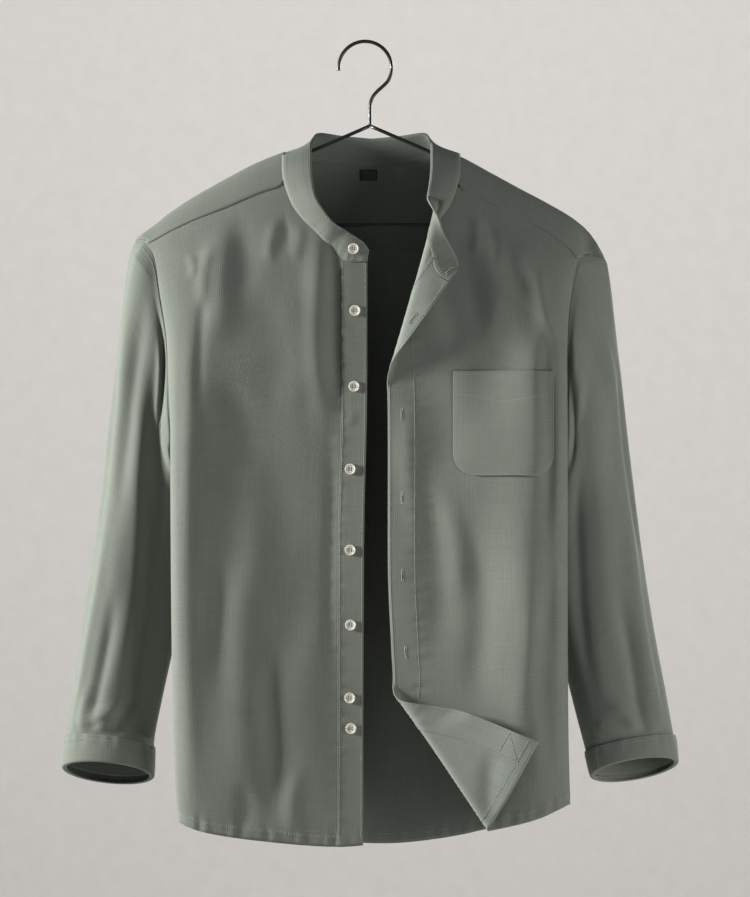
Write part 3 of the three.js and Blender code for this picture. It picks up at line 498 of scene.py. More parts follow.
def collar_pair(position):
    """Foot and top of the band, from its left end (-1) round the back to its right end (1)."""
    side = np.where(position < 0, -1, 1)
    front_last = len(COLLAR["z"]) - 1
    at = (1 - np.abs(position)) * (front_last + len(COLLAR_BACK["z"]) - 1)
    rows = indexed(COLLAR)
    back = indexed(COLLAR_BACK)
    back["index"] = back["index"] + front_last
    end = np.where(side > 0, 7 * np.clip(1 - at / 2, 0, 1), 0)

    def front(name):
        return along(rows, "index", name, at)

    def behind(name):
        return along(back, "index", name, at)

    foot_x = NECK_CENTRE + side * (front("out") + end)
    foot_y = height_at(foot_x, front("z"), False)
    near = at <= front_last
    foot = (np.where(near, foot_x, NECK_CENTRE + side * behind("out")),
            np.where(near, foot_y, behind("y")),
            np.where(near, front("z"), behind("z")) + SEAM_GAP)
    top = (np.where(near, NECK_CENTRE + side * (front("top_out") + end),
                    NECK_CENTRE + side * behind("top_out")),
           np.where(near, foot_y + front("lean"), behind("top_y")),
           np.where(near, front("top_z"), behind("top_z")))
    return foot, top


def collar_surface(across, up):
    foot, top = collar_pair(2 * across - 1)
    share = COLLAR_FOOT_SHARE + (1 - COLLAR_FOOT_SHARE) * up
    x, y, z = (a + (b - a) * share for a, b in zip(foot, top))
    bow = 1.5 * np.sin(np.pi * up)
    on_front = COLLAR_FOOT_LIFT * np.clip(1 - up / 0.4, 0, 1)
    y = y + np.where(y > 5, bow, -bow - on_front)
    y = y + seam_pucker(up * 30, across * 520, 8, 0.2)
    new_x, new_z, rise = rolled(x, z, LAPEL)
    turned = (rise > 0) & (x > NECK_CENTRE)
    blend = np.clip(rise / CAD_CLOTH, 0, 1)
    ground = height_at(new_x, new_z, False)
    return (np.where(turned, new_x, x), np.where(turned, y + (ground - y) * blend - rise, y),
            np.where(turned, new_z, z))


def armhole_point(side, turn, rows):
    side_table = side_rows(side)
    top = side_table["z"][0]
    bottom = rows["in_z"][0] + 1
    down = (1 - np.cos(turn)) / 2
    corner = 0.035
    low_down = np.maximum(down - corner, 0) / (1 - corner)
    z = top + (bottom - top) * low_down
    behind = np.sin(turn) < 0
    ends = [body_point(side, z, along(side_table, "z", name, z), back)
            for name, back in (("front", False), ("back", True))]
    x, y, z = (np.where(behind, b, a) for a, b in zip(*ends))
    share = np.clip(np.sqrt(np.clip(down / corner, 0, 1)), 0, 1)
    return (rows["out_x"][0] + (x - rows["out_x"][0]) * share, y * share,
            rows["out_z"][0] + 1 + (z - rows["out_z"][0] - 1) * share)


def ring_point(rows, at, turn):
    value = {name: along(rows, "index", name, at) for name in rows if name != "index"}
    cosine = np.cos(turn)
    sine = np.sin(turn)
    x = (value["out_x"] + value["in_x"]) / 2 + (value["out_x"] - value["in_x"]) / 2 * cosine
    z = (value["out_z"] + value["in_z"]) / 2 + (value["out_z"] - value["in_z"]) / 2 * cosine
    return x, value["y"] - value["depth"] * sine, z + value["tilt"] * sine


def sleeve_surface(side, with_creases=True):
    """A sleeve by turn (0 outer edge, a quarter turn to the front) and rows down."""
    rows = indexed(LEFT_SLEEVE if side < 0 else RIGHT_SLEEVE)

    def surface(around, at):
        turn = around * 2 * np.pi
        ring = ring_point(rows, at, turn)
        start = ring_point(rows, 0 * at, turn)
        head = armhole_point(side, turn, rows)
        share = np.clip(at / HEAD_BLEND_ROWS, 0, 1)
        settle = share * share * (3 - 2 * share)
        x, y, z = ((h + r - s) * (1 - settle) + r * settle for h, r, s in zip(head, ring, start))
        tuck = np.clip(1 - at / SEAM_TUCK["rows"], 0, 1)
        x = x + side * (SEAM_TUCK["out"] * (1 - settle) - SEAM_TUCK["in"] * tuck)
        y = y - np.sign(y) * SEAM_TUCK["under"] * tuck
        z = z + SEAM_TUCK["up"] * tuck
        degrees = (around % 1) * 360
        creases = LEFT_SLEEVE_CREASES if side < 0 else RIGHT_SLEEVE_CREASES
        away = creased(creases, degrees, at * ROW_LENGTH) if with_creases else 0 * at
        away = away * np.clip(at / 0.5, 0, 1) * np.clip((CUFF_START[side] - at) / 0.3, 0, 1)
        out_x = np.cos(turn) * side
        return x + out_x * away, y - np.sin(turn) * away, z
    return surface


# Meshes

def normals(surface, u, v, sign, step=0.0015):
    """Outward normals of a surface by small differences."""
    across = [b - a for a, b in zip(surface(u - step, v), surface(u + step, v))]
    down = [b - a for a, b in zip(surface(u, v - step), surface(u, v + step))]
    normal = np.cross(np.stack(across, -1), np.stack(down, -1)) * sign
    return normal / np.maximum(np.linalg.norm(normal, axis=-1, keepdims=True), 1e-9)


def grid_points(surface, u, v, offset, sign):
    points = np.stack(surface(u, v), -1)
    if offset is not None:
        points = points + normals(surface, u, v, sign) * np.asarray(offset)[..., None]
    return points


def deselect():
    bpy.ops.object.select_all(action="DESELECT")


def select_only(piece):
    deselect()
    piece.select_set(True)
    bpy.context.view_layer.objects.active = piece


def linked(name, data):
    """A new object of the scene around some data."""
    thing = bpy.data.objects.new(name, data)
    bpy.context.scene.collection.objects.link(thing)
    return thing


def apply_modifiers(piece):
    select_only(piece)
    for modifier in list(piece.modifiers):
        bpy.ops.object.modifier_apply(modifier=modifier.name)


def sheet_mesh(name, points, material, thickness, closed=False):
    """A grid of points as a thin shell, its UV map in metres of cloth."""
    rows, columns = points.shape[:2]
    deselect()
    bpy.ops.mesh.primitive_grid_add(x_subdivisions=columns - 1, y_subdivisions=rows - 1, size=1)
    piece = bpy.context.object
    piece.name = name
    mesh = piece.data
    mesh.name = name
    mesh.vertices.foreach_set("co", (points.reshape(-1, 3) * MM).ravel())
    across = np.linalg.norm(np.diff(points, axis=1), axis=2)
    down = np.linalg.norm(np.diff(points, axis=0), axis=2)
    width = np.concatenate([[0], np.cumsum(across.max(axis=0))])
    length = np.concatenate([[0], np.cumsum(down.mean(axis=1))])
    flat = np.stack(np.meshgrid(width, length), -1).reshape(-1, 2) * MM
    corner = np.empty(len(mesh.loops), dtype=np.int64)
    mesh.loops.foreach_get("vertex_index", corner)
    mesh.uv_layers[0].data.foreach_set("uv", flat[corner].ravel())
    mesh.update()
    if closed:
        merge_doubles(piece)
    solid = piece.modifiers.new("cloth", "SOLIDIFY")
    solid.thickness = thickness * MM
    solid.offset = 0
    solid.use_even_offset = False
    apply_modifiers(piece)
    mesh.polygons.foreach_set("use_smooth", [True] * len(mesh.polygons))
    mesh.materials.clear()
    mesh.materials.append(material)
    return piece


def merge_doubles(piece):
    select_only(piece)
    bpy.ops.object.mode_set(mode="EDIT")
    bpy.ops.mesh.select_all(action="SELECT")
    bpy.ops.mesh.remove_doubles(threshold=0.00002)
    bpy.ops.mesh.normals_make_consistent(inside=False)
    bpy.ops.object.mode_set(mode="OBJECT")


def facing(points, toward):
    """The grid turned so that its faces look outwards."""
    across = points[1:, 1:] - points[:-1, :-1]
    other = points[1:, :-1] - points[:-1, 1:]
    total = np.cross(across, other).reshape(-1, 3).sum(axis=0)
    return points if np.dot(total, toward) > 0 else points[:, ::-1]


def add_to_frame(piece, slot, *nodes):
    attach(piece, "root")
    if nodes:
        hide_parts(*nodes)


# Materials

def linear(hex_colour):
    """An sRGB hex value as linear red, green, blue and alpha."""
    parts = [int(hex_colour[i:i + 2], 16) / 255 for i in (1, 3, 5)]
    return [p / 12.92 if p <= 0.04045 else ((p + 0.055) / 1.055) ** 2.4 for p in parts] + [1]


def node(tree, kind, links=(), **settings):
    """Adds a node; links are (input, output socket) pairs, settings are inputs or properties."""
    new = tree.nodes.new(kind)
    for key, value in settings.items():
        if hasattr(new, key):
            setattr(new, key, value)
        else:
            new.inputs[key.replace("_", " ")].default_value = value
    for name, socket in links:
        tree.links.new(socket, new.inputs[name])
    return new


def new_material(name):
    material = bpy.data.materials.new(name)
    material.use_nodes = True
    tree = material.node_tree
    tree.nodes.clear()
    return material, tree


THREAD_MM = 1.3
SLUB_MM = (2.2, 46)
MOTTLE_MM = 55


def woven_cotton(name, low, high, rough=0.86, sheen=0.12):
    """Oxford-weight cotton, piece dyed: matt, with thick and thin yarns both ways.
    The yarn is drawn at about 1.3 mm, coarser than life, so that it shows."""
    material, tree = new_material(name)
    uv = node(tree, "ShaderNodeTexCoord").outputs["UV"]
    weft_map = node(tree, "ShaderNodeMapping", [("Vector", uv)],
                    Scale=(1000 / SLUB_MM[1], 1000 / SLUB_MM[0], 1))
    warp_map = node(tree, "ShaderNodeMapping", [("Vector", uv)],
                    Scale=(1000 / SLUB_MM[0], 1000 / SLUB_MM[1], 1))
    weft = node(tree, "ShaderNodeTexNoise", [("Vector", weft_map.outputs[0])], Scale=1.0, Detail=3.0)
    warp = node(tree, "ShaderNodeTexNoise", [("Vector", warp_map.outputs[0])], Scale=1.0, Detail=3.0)
    slub = node(tree, "ShaderNodeMath", [(0, weft.outputs["Fac"]), (1, warp.outputs["Fac"])],
                operation="ADD")
    thread = 1000 / THREAD_MM
    across = node(tree, "ShaderNodeTexWave", [("Vector", uv)], bands_direction="X",
                  Scale=thread / 6.2832, Distortion=0.8, Detail=1.0)
    along_cloth = node(tree, "ShaderNodeTexWave", [("Vector", uv)], bands_direction="Y",
                       Scale=thread / 6.2832, Distortion=0.8, Detail=1.0)
    weave = node(tree, "ShaderNodeMath", [(0, across.outputs["Fac"]), (1, along_cloth.outputs["Fac"])],
                 operation="MULTIPLY")
    mottle = node(tree, "ShaderNodeTexNoise", [("Vector", uv)], Scale=1000 / MOTTLE_MM, Detail=2.0)
    fine = node(tree, "ShaderNodeMath", [(0, slub.outputs[0])], operation="MULTIPLY_ADD")
    fine.inputs[1].default_value = 0.3
    fine.inputs[2].default_value = -0.02
    whole = node(tree, "ShaderNodeMath", [(0, mottle.outputs["Fac"]), (2, fine.outputs[0])],
                 operation="MULTIPLY_ADD")
    whole.inputs[1].default_value = 0.16
    tone = node(tree, "ShaderNodeMath", [(0, weave.outputs[0]), (2, whole.outputs[0])],
                operation="MULTIPLY_ADD")
    tone.inputs[1].default_value = 0.16
    colour = node(tree, "ShaderNodeMix", [("Factor", tone.outputs[0])], data_type="RGBA", clamp_factor=True)
    colour.inputs[6].default_value = linear(low)
    colour.inputs[7].default_value = linear(high)
    relief_sum = node(tree, "ShaderNodeMath", [(0, weave.outputs[0]), (1, slub.outputs[0])],
                      operation="ADD")
    bump = node(tree, "ShaderNodeBump", [("Height", relief_sum.outputs[0])], Strength=0.28, Distance=0.0004)
    shader = node(tree, "ShaderNodeBsdfPrincipled",
                  [("Base Color", colour.outputs[2]), ("Normal", bump.outputs[0])],
                  Roughness=rough, IOR=1.46)
    shader.inputs["Sheen Weight"].default_value = sheen
    shader.inputs["Sheen Roughness"].default_value = 0.5
    shader.inputs["Sheen Tint"].default_value = linear("#c9d2c8")
    shader.inputs["Specular IOR Level"].default_value = 0.25
    node(tree, "ShaderNodeOutputMaterial", [("Surface", shader.outputs[0])])
    return material


def plain_finish(name, low, high, grain_mm, rough, specular=0.5, coat=0.0, bump_mm=0.02):
    """A near-even finish with slight variation, such as lacquer, resin or sewing thread."""
    material, tree = new_material(name)
    place = node(tree, "ShaderNodeTexCoord").outputs["Object"]
    grain = node(tree, "ShaderNodeTexNoise", [("Vector", place)], Scale=1000 / grain_mm, Detail=2.0)
    colour = node(tree, "ShaderNodeMix", [("Factor", grain.outputs["Fac"])], data_type="RGBA")
    colour.inputs[6].default_value = linear(low)
    colour.inputs[7].default_value = linear(high)
    bump = node(tree, "ShaderNodeBump", [("Height", grain.outputs["Fac"])], Strength=0.3,
                Distance=bump_mm * MM)
    shader = node(tree, "ShaderNodeBsdfPrincipled",
                  [("Base Color", colour.outputs[2]), ("Normal", bump.outputs[0])], Roughness=rough)
    shader.inputs["Specular IOR Level"].default_value = specular
    shader.inputs["Coat Weight"].default_value = coat
    node(tree, "ShaderNodeOutputMaterial", [("Surface", shader.outputs[0])])
    return material


COTTON = woven_cotton("army_green_cotton_oxford", "#5a5f58", "#858a80")
COTTON_REVERSE = woven_cotton("cotton_oxford_reverse", "#676d66", "#92988e", sheen=0.16)
THREAD = plain_finish("polyester_sewing_thread", "#7b8278", "#a1a89c", 1.5, 0.6)
THREAD_DARK = plain_finish("button_thread_dark", "#2c2f2b", "#3c403a", 1.0, 0.7)
RESIN = plain_finish("off_white_resin_button", "#cfcbbb", "#e9e6da", 2.5, 0.28, 0.5, 0.3)
LACQUER = plain_finish("black_lacquered_wire", "#0c0c0d", "#1b1b1d", 6, 0.38, 0.5, 0.2)
SATIN = plain_finish("dark_satin_label", "#171917", "#242624", 1.2, 0.5)
# Near-black painted shade for a buttonhole's cut: a dark spindle on the cloth shows the gap, with no real
# opening
SLIT_SHADE = plain_finish("buttonhole_slit_painted_shade", "#1a1c19", "#242622", 1.0, 0.9)


# Pieces of cloth

def cloth_piece(name, surface, us, vs, material, toward, offset=None, sign=1, thickness=CLOTH):
    """A panel of cloth over a surface, its front towards one side."""
    u, v = np.meshgrid(us, vs)
    points = grid_points(surface, u, v, offset, sign)
    return sheet_mesh(name, facing(points, np.array(toward)), material, thickness)


QUICK_STEP = 1.0
MESH_MM = 3.1


def steps(length):
    return max(int(length / MESH_MM / QUICK_STEP), 2)


def uneven(share, near, rest):
    """Columns: some in the strip beside the edge, the rest over the panel."""
    return np.concatenate([np.linspace(0, share, near + 1)[:-1], np.linspace(share, 1, rest + 1)])


YOKE_LAP = 0.012
YOKE_LIFT = 0.5


def make_panels():
    rows = np.linspace(0, 1, steps(700))
    columns = uneven(BUTTON_STRIP["share"], steps(28), steps(250))
    button_side = cloth_piece("shirt_front_button_side", front_surface(-1), columns, rows, COTTON,
                              (0, -1, 0))
    add_to_frame(button_side, "cloth", "front_button_side")
    columns = uneven(HOLE_STRIP["share"], steps(40), steps(300))
    rows = np.linspace(0, 1, steps(860))
    hole_side = cloth_piece("shirt_front_hole_side", front_surface(1), columns, rows, COTTON, (0, -1, 0))
    two_sided(hole_side, len(columns), len(rows))
    add_to_frame(hole_side, "cloth", "front_hole_side")
    rows = np.linspace(0, 1, steps(640))
    back = cloth_piece("shirt_back", back_surface, np.linspace(0, 1, steps(470)), rows, COTTON, (0, 1, 0))
    add_to_frame(back, "cloth", "back_panel")
    columns = np.linspace(0.001, 0.999, steps(560))
    rows = np.linspace(-YOKE_LAP, 1 + YOKE_LAP, steps(150))
    lifted = np.full((len(rows), len(columns)), YOKE_LIFT)
    yoke = cloth_piece("shirt_yoke", yoke_surface, columns, rows, COTTON, (0, 0, 1), offset=lifted, sign=-1)
    add_to_frame(yoke, "cloth", "yoke")


def two_sided(piece, columns, rows):
    """The inner face of the cloth shows the reverse of the weave."""
    mesh = piece.data
    mesh.materials.append(COTTON_REVERSE)
    count = (columns - 1) * (rows - 1)
    indices = np.zeros(len(mesh.polygons), dtype=np.int32)
    indices[count:2 * count] = 1
    mesh.polygons.foreach_set("material_index", indices)


COLLAR_LAP = -0.1


def make_collar():
    band = cloth_piece("collar_band_cloth", collar_surface, np.linspace(0.001, 0.999, steps(620)),
                       np.linspace(COLLAR_LAP, 1, 11), COTTON, (0, 0, 1), thickness=2.0)
    add_to_frame(band, "cloth", "collar_band")


def strip_surface(side):
    surface = front_surface(side)
    strip = BUTTON_STRIP if side < 0 else HOLE_STRIP
    return lambda across, down: surface(across * strip["share"], down)


def edged(count, rim=0.018):
    """Even columns with a narrow one beside each edge, so that a fold stays crisp."""
    return np.concatenate([[0.001], np.linspace(rim, 1 - rim, count), [0.999]])


def make_plackets():
    near = CLOTH / 2 + 0.2
    rows = np.linspace(0.0005, 0.9995, steps(860))
    columns = edged(9)
    offset = np.full((len(rows), len(columns)), near)
    button = cloth_piece("placket_buttons", strip_surface(-1), columns, rows, COTTON, (0, -1, 0),
                         offset=offset, thickness=LAID_CLOTH)
    add_to_frame(button, "cloth", "placket_button_side")
    facing_strip = cloth_piece("facing_buttonholes", strip_surface(1), columns, rows, COTTON_REVERSE,
                               (0, -1, 0), offset=offset, thickness=LAID_CLOTH)
    add_to_frame(facing_strip, "cloth", "placket_hole_side")


def make_sleeves():
    for side, name in ((-1, "left"), (1, "right")):
        sleeve = sleeve_surface(side)
        around = np.linspace(0, 1, steps(300) + 1)
        rows = np.linspace(0, 9.85, steps(560))
        u, v = np.meshgrid(around, rows)
        points = grid_points(sleeve, u, v, None, 1)
        piece = sheet_mesh(f"shirt_sleeve_{name}", points[:, ::side], COTTON, CLOTH, True)
        add_to_frame(piece, "cloth", f"sleeve_{name}")
        make_cuff(side, name)


def make_cuff(side, name):
    """The sleeve end turned back: a band outside, rolled under at the bottom."""
    plain = sleeve_surface(side, False)
    start = CUFF_START[side]

    def surface(around, v):
        at = start + (10 - start) * np.clip(v / 0.8, 0, 1)
        roll = np.clip((v - 0.8) / 0.2, 0, 1) * np.pi
        out = 1.9 + 0.5 * np.sin(np.clip(v / 0.8, 0, 1) * np.pi)
        out = out + seam_pucker((v - 0.12) * 34, around * 260, 7, 0.3)
        swell = out * np.cos(roll) - 0.6 * (1 - np.cos(roll))
        x, y, z = plain(around, at)
        turn = around * 2 * np.pi
        drop = 1.8 * np.sin(roll)
        return x + side * np.cos(turn) * swell, y - np.sin(turn) * swell, z - drop

    around = np.linspace(0, 1, steps(320) + 1)
    u, v = np.meshgrid(around, np.linspace(0, 1, 30))
    points = grid_points(surface, u, v, None, 1)
    piece = sheet_mesh(f"turned_cuff_{name}", points[:, ::side], COTTON, 1.0, True)
    add_to_frame(piece, "cloth", f"cuff_{name}")


def pocket_inset(z):
    low = np.maximum(POCKET["corner"] - (z - POCKET["bottom"]), 0)
    return POCKET["corner"] - np.sqrt(np.maximum(POCKET["corner"] ** 2 - low ** 2, 0))


def pocket_surface(across, down):
    z = POCKET["top"] + (POCKET["bottom"] - POCKET["top"]) * down
    inset = pocket_inset(z) * 0.97
    left = POCKET["left"] + inset
    right = POCKET["right"] - inset
    x = left + (right - left) * across
    puff = 1 - np.abs(2 * across - 1) ** 6
    lift = (1.1 * np.sin(np.pi * across) * np.clip(1 - down / 0.35, 0, 1)
            + 1.3 * puff * np.clip((1 - down) / 0.12, 0, 1) + 2.2 * across * puff)
    return x, height_at(x, z, False) - lift, z


def make_pocket():
    us = edged(steps(112), 0.007)
    vs = np.concatenate([[0, 0.008], np.linspace(0.02, 0.78, steps(88)),
                         np.linspace(0.79, 0.99, 11), [0.999]])
    offset = np.full((len(vs), len(us)), CAD_CLOTH / 2 + FACING_CLOTH)
    piece = cloth_piece("chest_pocket", pocket_surface, us, vs, COTTON, (0, -1, 0), offset=offset, sign=-1,
                        thickness=FACING_CLOTH)
    add_to_frame(piece, "cloth", "pocket")


def make_label():
    def surface(across, down):
        x = LABEL["left"] + (LABEL["right"] - LABEL["left"]) * across
        z = LABEL["top"] + (LABEL["bottom"] - LABEL["top"]) * down
        return x, height_at(x, z, True) - CAD_CLOTH / 2 - 0.8, z
    piece = cloth_piece("neck_label_blank", surface, np.linspace(0, 1, 12), np.linspace(0, 1, 8), SATIN,
                        (0, -1, 0), thickness=0.5)
    add_to_frame(piece, "label", "neck_label")


# Stitches

STITCH = {"pitch": 3.1, "length": 2.2, "radius": 0.3}
HOLE_PITCH = 0.62
HOLE_END = 1.4
COLLAR_SIGN = -1
COLLAR_STITCH_LIFT = 0.95
CUFF_STITCH_LIFT = 2.75


def stitch_mesh(name, starts, ends, outs, radius, material):
    """Many short threads in one mesh: each a slim four-sided spindle lying on the cloth."""
    count = len(starts)
    run = ends - starts
    length = np.linalg.norm(run, axis=1, keepdims=True)
    run = run / np.maximum(length, 1e-9)
    side = np.cross(run, outs)
    side = side / np.maximum(np.linalg.norm(side, axis=1, keepdims=True), 1e-9)
    rings = []
    for share, size in ((0.0, 0.35), (0.25, 1.0), (0.75, 1.0), (1.0, 0.35)):
        centre = starts + run * length * share
        for turn in (0, 90, 180, 270):
            away = side * math.cos(turn * DEGREE) + outs * math.sin(turn * DEGREE)
            rings.append(centre + away * radius * size)
    points = np.stack(rings, 1).reshape(-1, 3) * MM
    faces = []
    for i in range(count):
        base = i * 16
        for ring in range(3):
            for k in range(4):
                a = base + ring * 4 + k
                b = base + ring * 4 + (k + 1) % 4
                faces.append((a, b, b + 4, a + 4))
        faces.append((base + 3, base + 2, base + 1, base))
        faces.append((base + 12, base + 13, base + 14, base + 15))
    mesh = bpy.data.meshes.new(name)
    mesh.from_pydata(points.tolist(), [], faces)
    mesh.polygons.foreach_set("use_smooth", [True] * len(mesh.polygons))
    mesh.materials.append(material)
    piece = linked(name, mesh)
    merge_doubles(piece)
    add_to_frame(piece, "cloth")


def stitched(name, surface, us, vs, lift, sign=1):
    """A row of stitches along a line of a surface, lift above its middle."""
    u = np.asarray(us, dtype=float)
    v = np.asarray(vs, dtype=float)
    points = np.stack(surface(u, v), -1)
    outs = normals(surface, u, v, sign)
    points = points + outs * lift
    gaps = np.linalg.norm(np.diff(points, axis=0), axis=1)
    run = np.concatenate([[0], np.cumsum(gaps)])
    count = int(run[-1] / STITCH["pitch"])
    begin = (np.arange(count) + 0.15) * STITCH["pitch"]
    end = begin + STITCH["length"]

    def at(distance):
        return np.stack([np.interp(distance, run, points[:, k]) for k in range(3)], -1)

    out = np.stack([np.interp(begin, run, outs[:, k]) for k in range(3)], -1)
    out = out / np.maximum(np.linalg.norm(out, axis=1, keepdims=True), 1e-9)
    stitch_mesh(name, at(begin), at(end), out, STITCH["radius"], THREAD)


def line(start, end, count=400):
    return np.linspace(start, end, count)


def stitched_across(name, surface, ends, down, lift, sign, count):
    """A row of stitches across a surface, between two shares of its width."""
    stitched(name, surface, line(*ends, count), np.full(count, down), lift, sign)


def make_stitches():
    button = strip_surface(-1)
    hole = strip_surface(1)
    whole = line(0.004, 0.992, 900)
    on_cloth = CLOTH / 2 + 0.1
    on_strip = CLOTH / 2 + 0.6
    for name, share in (("edge", 0.08), ("fold", 0.93)):
        stitched(f"stitch_placket_{name}", button, np.full(900, share), whole, on_strip)
        stitched(f"stitch_facing_{name}", hole, np.full(900, share), whole, on_strip)
        stitched(f"stitch_front_{name}", hole, np.full(900, share), whole, CLOTH / 2 + 0.12, -1)
    for side, name, sign in ((-1, "button", 1), (1, "hole", -1)):
        panel = front_surface(side)
        for row, inset in enumerate((0.9885, 0.9865)):
            stitched_across(f"stitch_hem_{name}_{row}", panel, (0.03, 0.985), inset, on_cloth, sign, 700)
    for name, surface, ends, down, sign, count in (
            ("hem_back", back_surface, (0.01, 0.99), 0.987, 1, 900),
            ("hem_back_inside", back_surface, (0.01, 0.99), 0.987, -1, 900),
            ("yoke_back", yoke_surface, (0.01, 0.99), 0.02, -1, 900),
            ("yoke_left", yoke_surface, (0.008, 0.222), 0.985, -1, 500),
            ("yoke_right", yoke_surface, (0.778, 0.992), 0.985, -1, 500)):
        stitched_across(f"stitch_{name}", surface, ends, down, on_cloth, sign, count)
    for name, up in (("foot", 0.07), ("top", 0.93)):
        for where, sign in (("", COLLAR_SIGN), ("in_", -COLLAR_SIGN)):
            stitched_across(f"stitch_collar_{where}{name}", collar_surface, (0.01, 0.99), up,
                            COLLAR_STITCH_LIFT, sign, 1200)
    around = np.concatenate([np.full(200, 0.03), line(0.03, 0.97, 200), np.full(200, 0.97)])
    deep = np.concatenate([line(0.0, 0.95, 200), np.full(200, 0.985), line(0.95, 0.0, 200)])
    on_pocket = CAD_CLOTH / 2 + 1.25
    stitched("stitch_pocket", pocket_surface, around, deep, on_pocket, -1)
    mouth = line(0.03, 0.97, 300)
    dip = 0.21 + 0.09 * (1 - np.abs(mouth - 0.5) * 2)
    stitched("stitch_pocket_mouth", pocket_surface, mouth, dip, on_pocket, -1)
    for side, name in ((-1, "left"), (1, "right")):
        stitched_across(f"stitch_armhole_{name}", sleeve_surface(side), (0, 1), 0.16, on_cloth, side, 500)
        stitched_across(f"stitch_cuff_{name}", sleeve_surface(side, False), (0, 1), CUFF_START[side] + 0.16,
                        CUFF_STITCH_LIFT, side, 400)
    stitched_across("stitch_hem_flap", front_surface(1), (0.215, 0.6), 0.9875, on_cloth, 1, 400)
    stitched_across("stitch_hem_facing", hole, (0.05, 0.97), 0.9875, on_strip, 1, 200)
    stitched_across("stitch_facing_end", hole, (0.08, 0.93), 0.962, on_strip, 1, 200)
    stitched("stitch_facing_corner", hole, line(0.08, 0.93, 200), line(0.962, 0.9875, 200), on_strip)


# Buttonholes

def frame_on(surface, u, v, sign):
    """Middle, outward and the two cloth directions at one place of a surface."""
    u = np.array([u])
    v = np.array([v])
    middle = np.stack(surface(u, v), -1)[0]
    out = normals(surface, u, v, sign)[0]
    down = np.stack(surface(u, v + 0.002), -1)[0] - np.stack(surface(u, v - 0.002), -1)[0]
    down = down - out * np.dot(down, out)
    down = down / np.linalg.norm(down)
    return middle, out, down, np.cross(out, down)


def make_buttonhole(name, surface, u, v, sign, lift, length=14):
    """A ring of thread across the slit, a pair of stitches at each pitch; the slit itself is a dark spindle
    of painted shade.
    """
    middle, out, down, across = frame_on(surface, u, v, sign)
    starts = []
    ends = []
    for k in range(int(length / HOLE_PITCH)):
        at = -length / 2 + HOLE_PITCH * k
        for hand in (-1, 1):
            starts.append(middle + out * lift + down * at + across * hand * 0.28)
            ends.append(middle + out * lift + down * at + across * hand * 1.35)
    outs = np.tile(out, (len(starts), 1))
    stitch_mesh(name + "_thread", np.array(starts), np.array(ends), outs, 0.3, THREAD)
    # The slit is painted shade: a dark spindle over the cloth stands in for the shaded cut between the two
    # rows of thread
    centre = middle + out * lift
    half = down * (length / 2 - HOLE_END)
    stitch_mesh(name + "_slit", np.array([centre - half]), np.array([centre + half]), np.array([out]),
                0.34, SLIT_SHADE)


def front_share(side, z):
    """Rows down at which a strip reaches a height."""
    low = 0.0
    high = 1.0
    for _ in range(30):
        middle = (low + high) / 2
        top = front_top(side, edge_x(side, -241) + side * 15)
        hem = along(HEM, "x", "front", edge_x(side, -870) + side * 15)
        z_here = top + (hem - top) * middle ** FRONT_DOWN_POWER
        if z_here > z:
            low = middle
        else:
            high = middle
    return (low + high) / 2


def make_buttonholes():
    hole = strip_surface(1)
    for number, (z, across) in enumerate(zip(*HOLE_PLACES.values())):
        down = front_share(1, z)
        make_buttonhole(f"buttonhole_{number + 2}", hole, across, down, -1, CLOTH / 2 + 0.15)
        make_buttonhole(f"buttonhole_{number + 2}_back", hole, across, down, 1, CLOTH / 2 + 0.5)
    make_buttonhole("buttonhole_1", collar_surface, 0.96, 0.45, -COLLAR_SIGN, 1.0, 13)


# Buttons

SMOOTH_ANGLE = 0.6
THREAD_HOLE = {"radius": 0.75, "from_centre": 1.25, "depth": 8}


def make_button_mesh():
    """A four-hole resin button on its back, its face along +Z."""
    radius = BUTTON["radius"] * MM
    height = BUTTON["height"] * MM
    deselect()
    bpy.ops.mesh.primitive_cylinder_add(vertices=32, radius=radius, depth=height,
                                        location=(0, 0, height / 2))
    button = bpy.context.object
    bpy.ops.object.mode_set(mode="EDIT")
    bpy.ops.mesh.select_mode(type="FACE")
    bpy.ops.mesh.select_all(action="DESELECT")
    bpy.ops.object.mode_set(mode="OBJECT")
    for face in button.data.polygons:
        face.select = face.normal.z > 0.9
    bpy.ops.object.mode_set(mode="EDIT")
    bpy.ops.mesh.inset(thickness=BUTTON["rim"] * MM)
    bpy.ops.mesh.inset(thickness=BUTTON["rim"] * 0.6 * MM)
    bpy.ops.transform.translate(value=(0, 0, -BUTTON["dish"] * MM))
    bpy.ops.object.mode_set(mode="OBJECT")
    bevel = button.modifiers.new("edge", "BEVEL")
    bevel.width = 0.35 * MM
    bevel.segments = 3
    bevel.limit_method = "ANGLE"
    apply_modifiers(button)
    away = THREAD_HOLE["from_centre"] * MM
    for x in (-away, away):
        for y in (-away, away):
            deselect()
            bpy.ops.mesh.primitive_cylinder_add(vertices=12, radius=THREAD_HOLE["radius"] * MM,
                                                depth=THREAD_HOLE["depth"] * MM,
                                                location=(x, y, height / 2))
            drill = bpy.context.object
            cut = button.modifiers.new("hole", "BOOLEAN")
            cut.operation = "DIFFERENCE"
            cut.object = drill
            apply_modifiers(button)
            bpy.data.objects.remove(drill, do_unlink=True)
    button.data.materials.clear()
    button.data.materials.append(RESIN)
    return button


def placed_copy(source, name, foot, out):
    """A copy of a mesh with its +Z along out and its place in its mesh."""
    out = out / np.linalg.norm(out)
    up = np.array([0.0, 0.0, 1.0])
    side = np.cross(up, out)
    side = side / np.linalg.norm(side)
    turn = np.stack([side, np.cross(out, side), out], 1)
    mesh = source.data.copy()
    points = np.empty(len(mesh.vertices) * 3)
    mesh.vertices.foreach_get("co", points)
    points = points.reshape(-1, 3) @ turn.T + foot * MM
    mesh.vertices.foreach_set("co", points.ravel())
    mesh.update()
    piece = linked(name, mesh)
    select_only(piece)
    bpy.ops.object.shade_smooth_by_angle(angle=SMOOTH_ANGLE)
    return piece


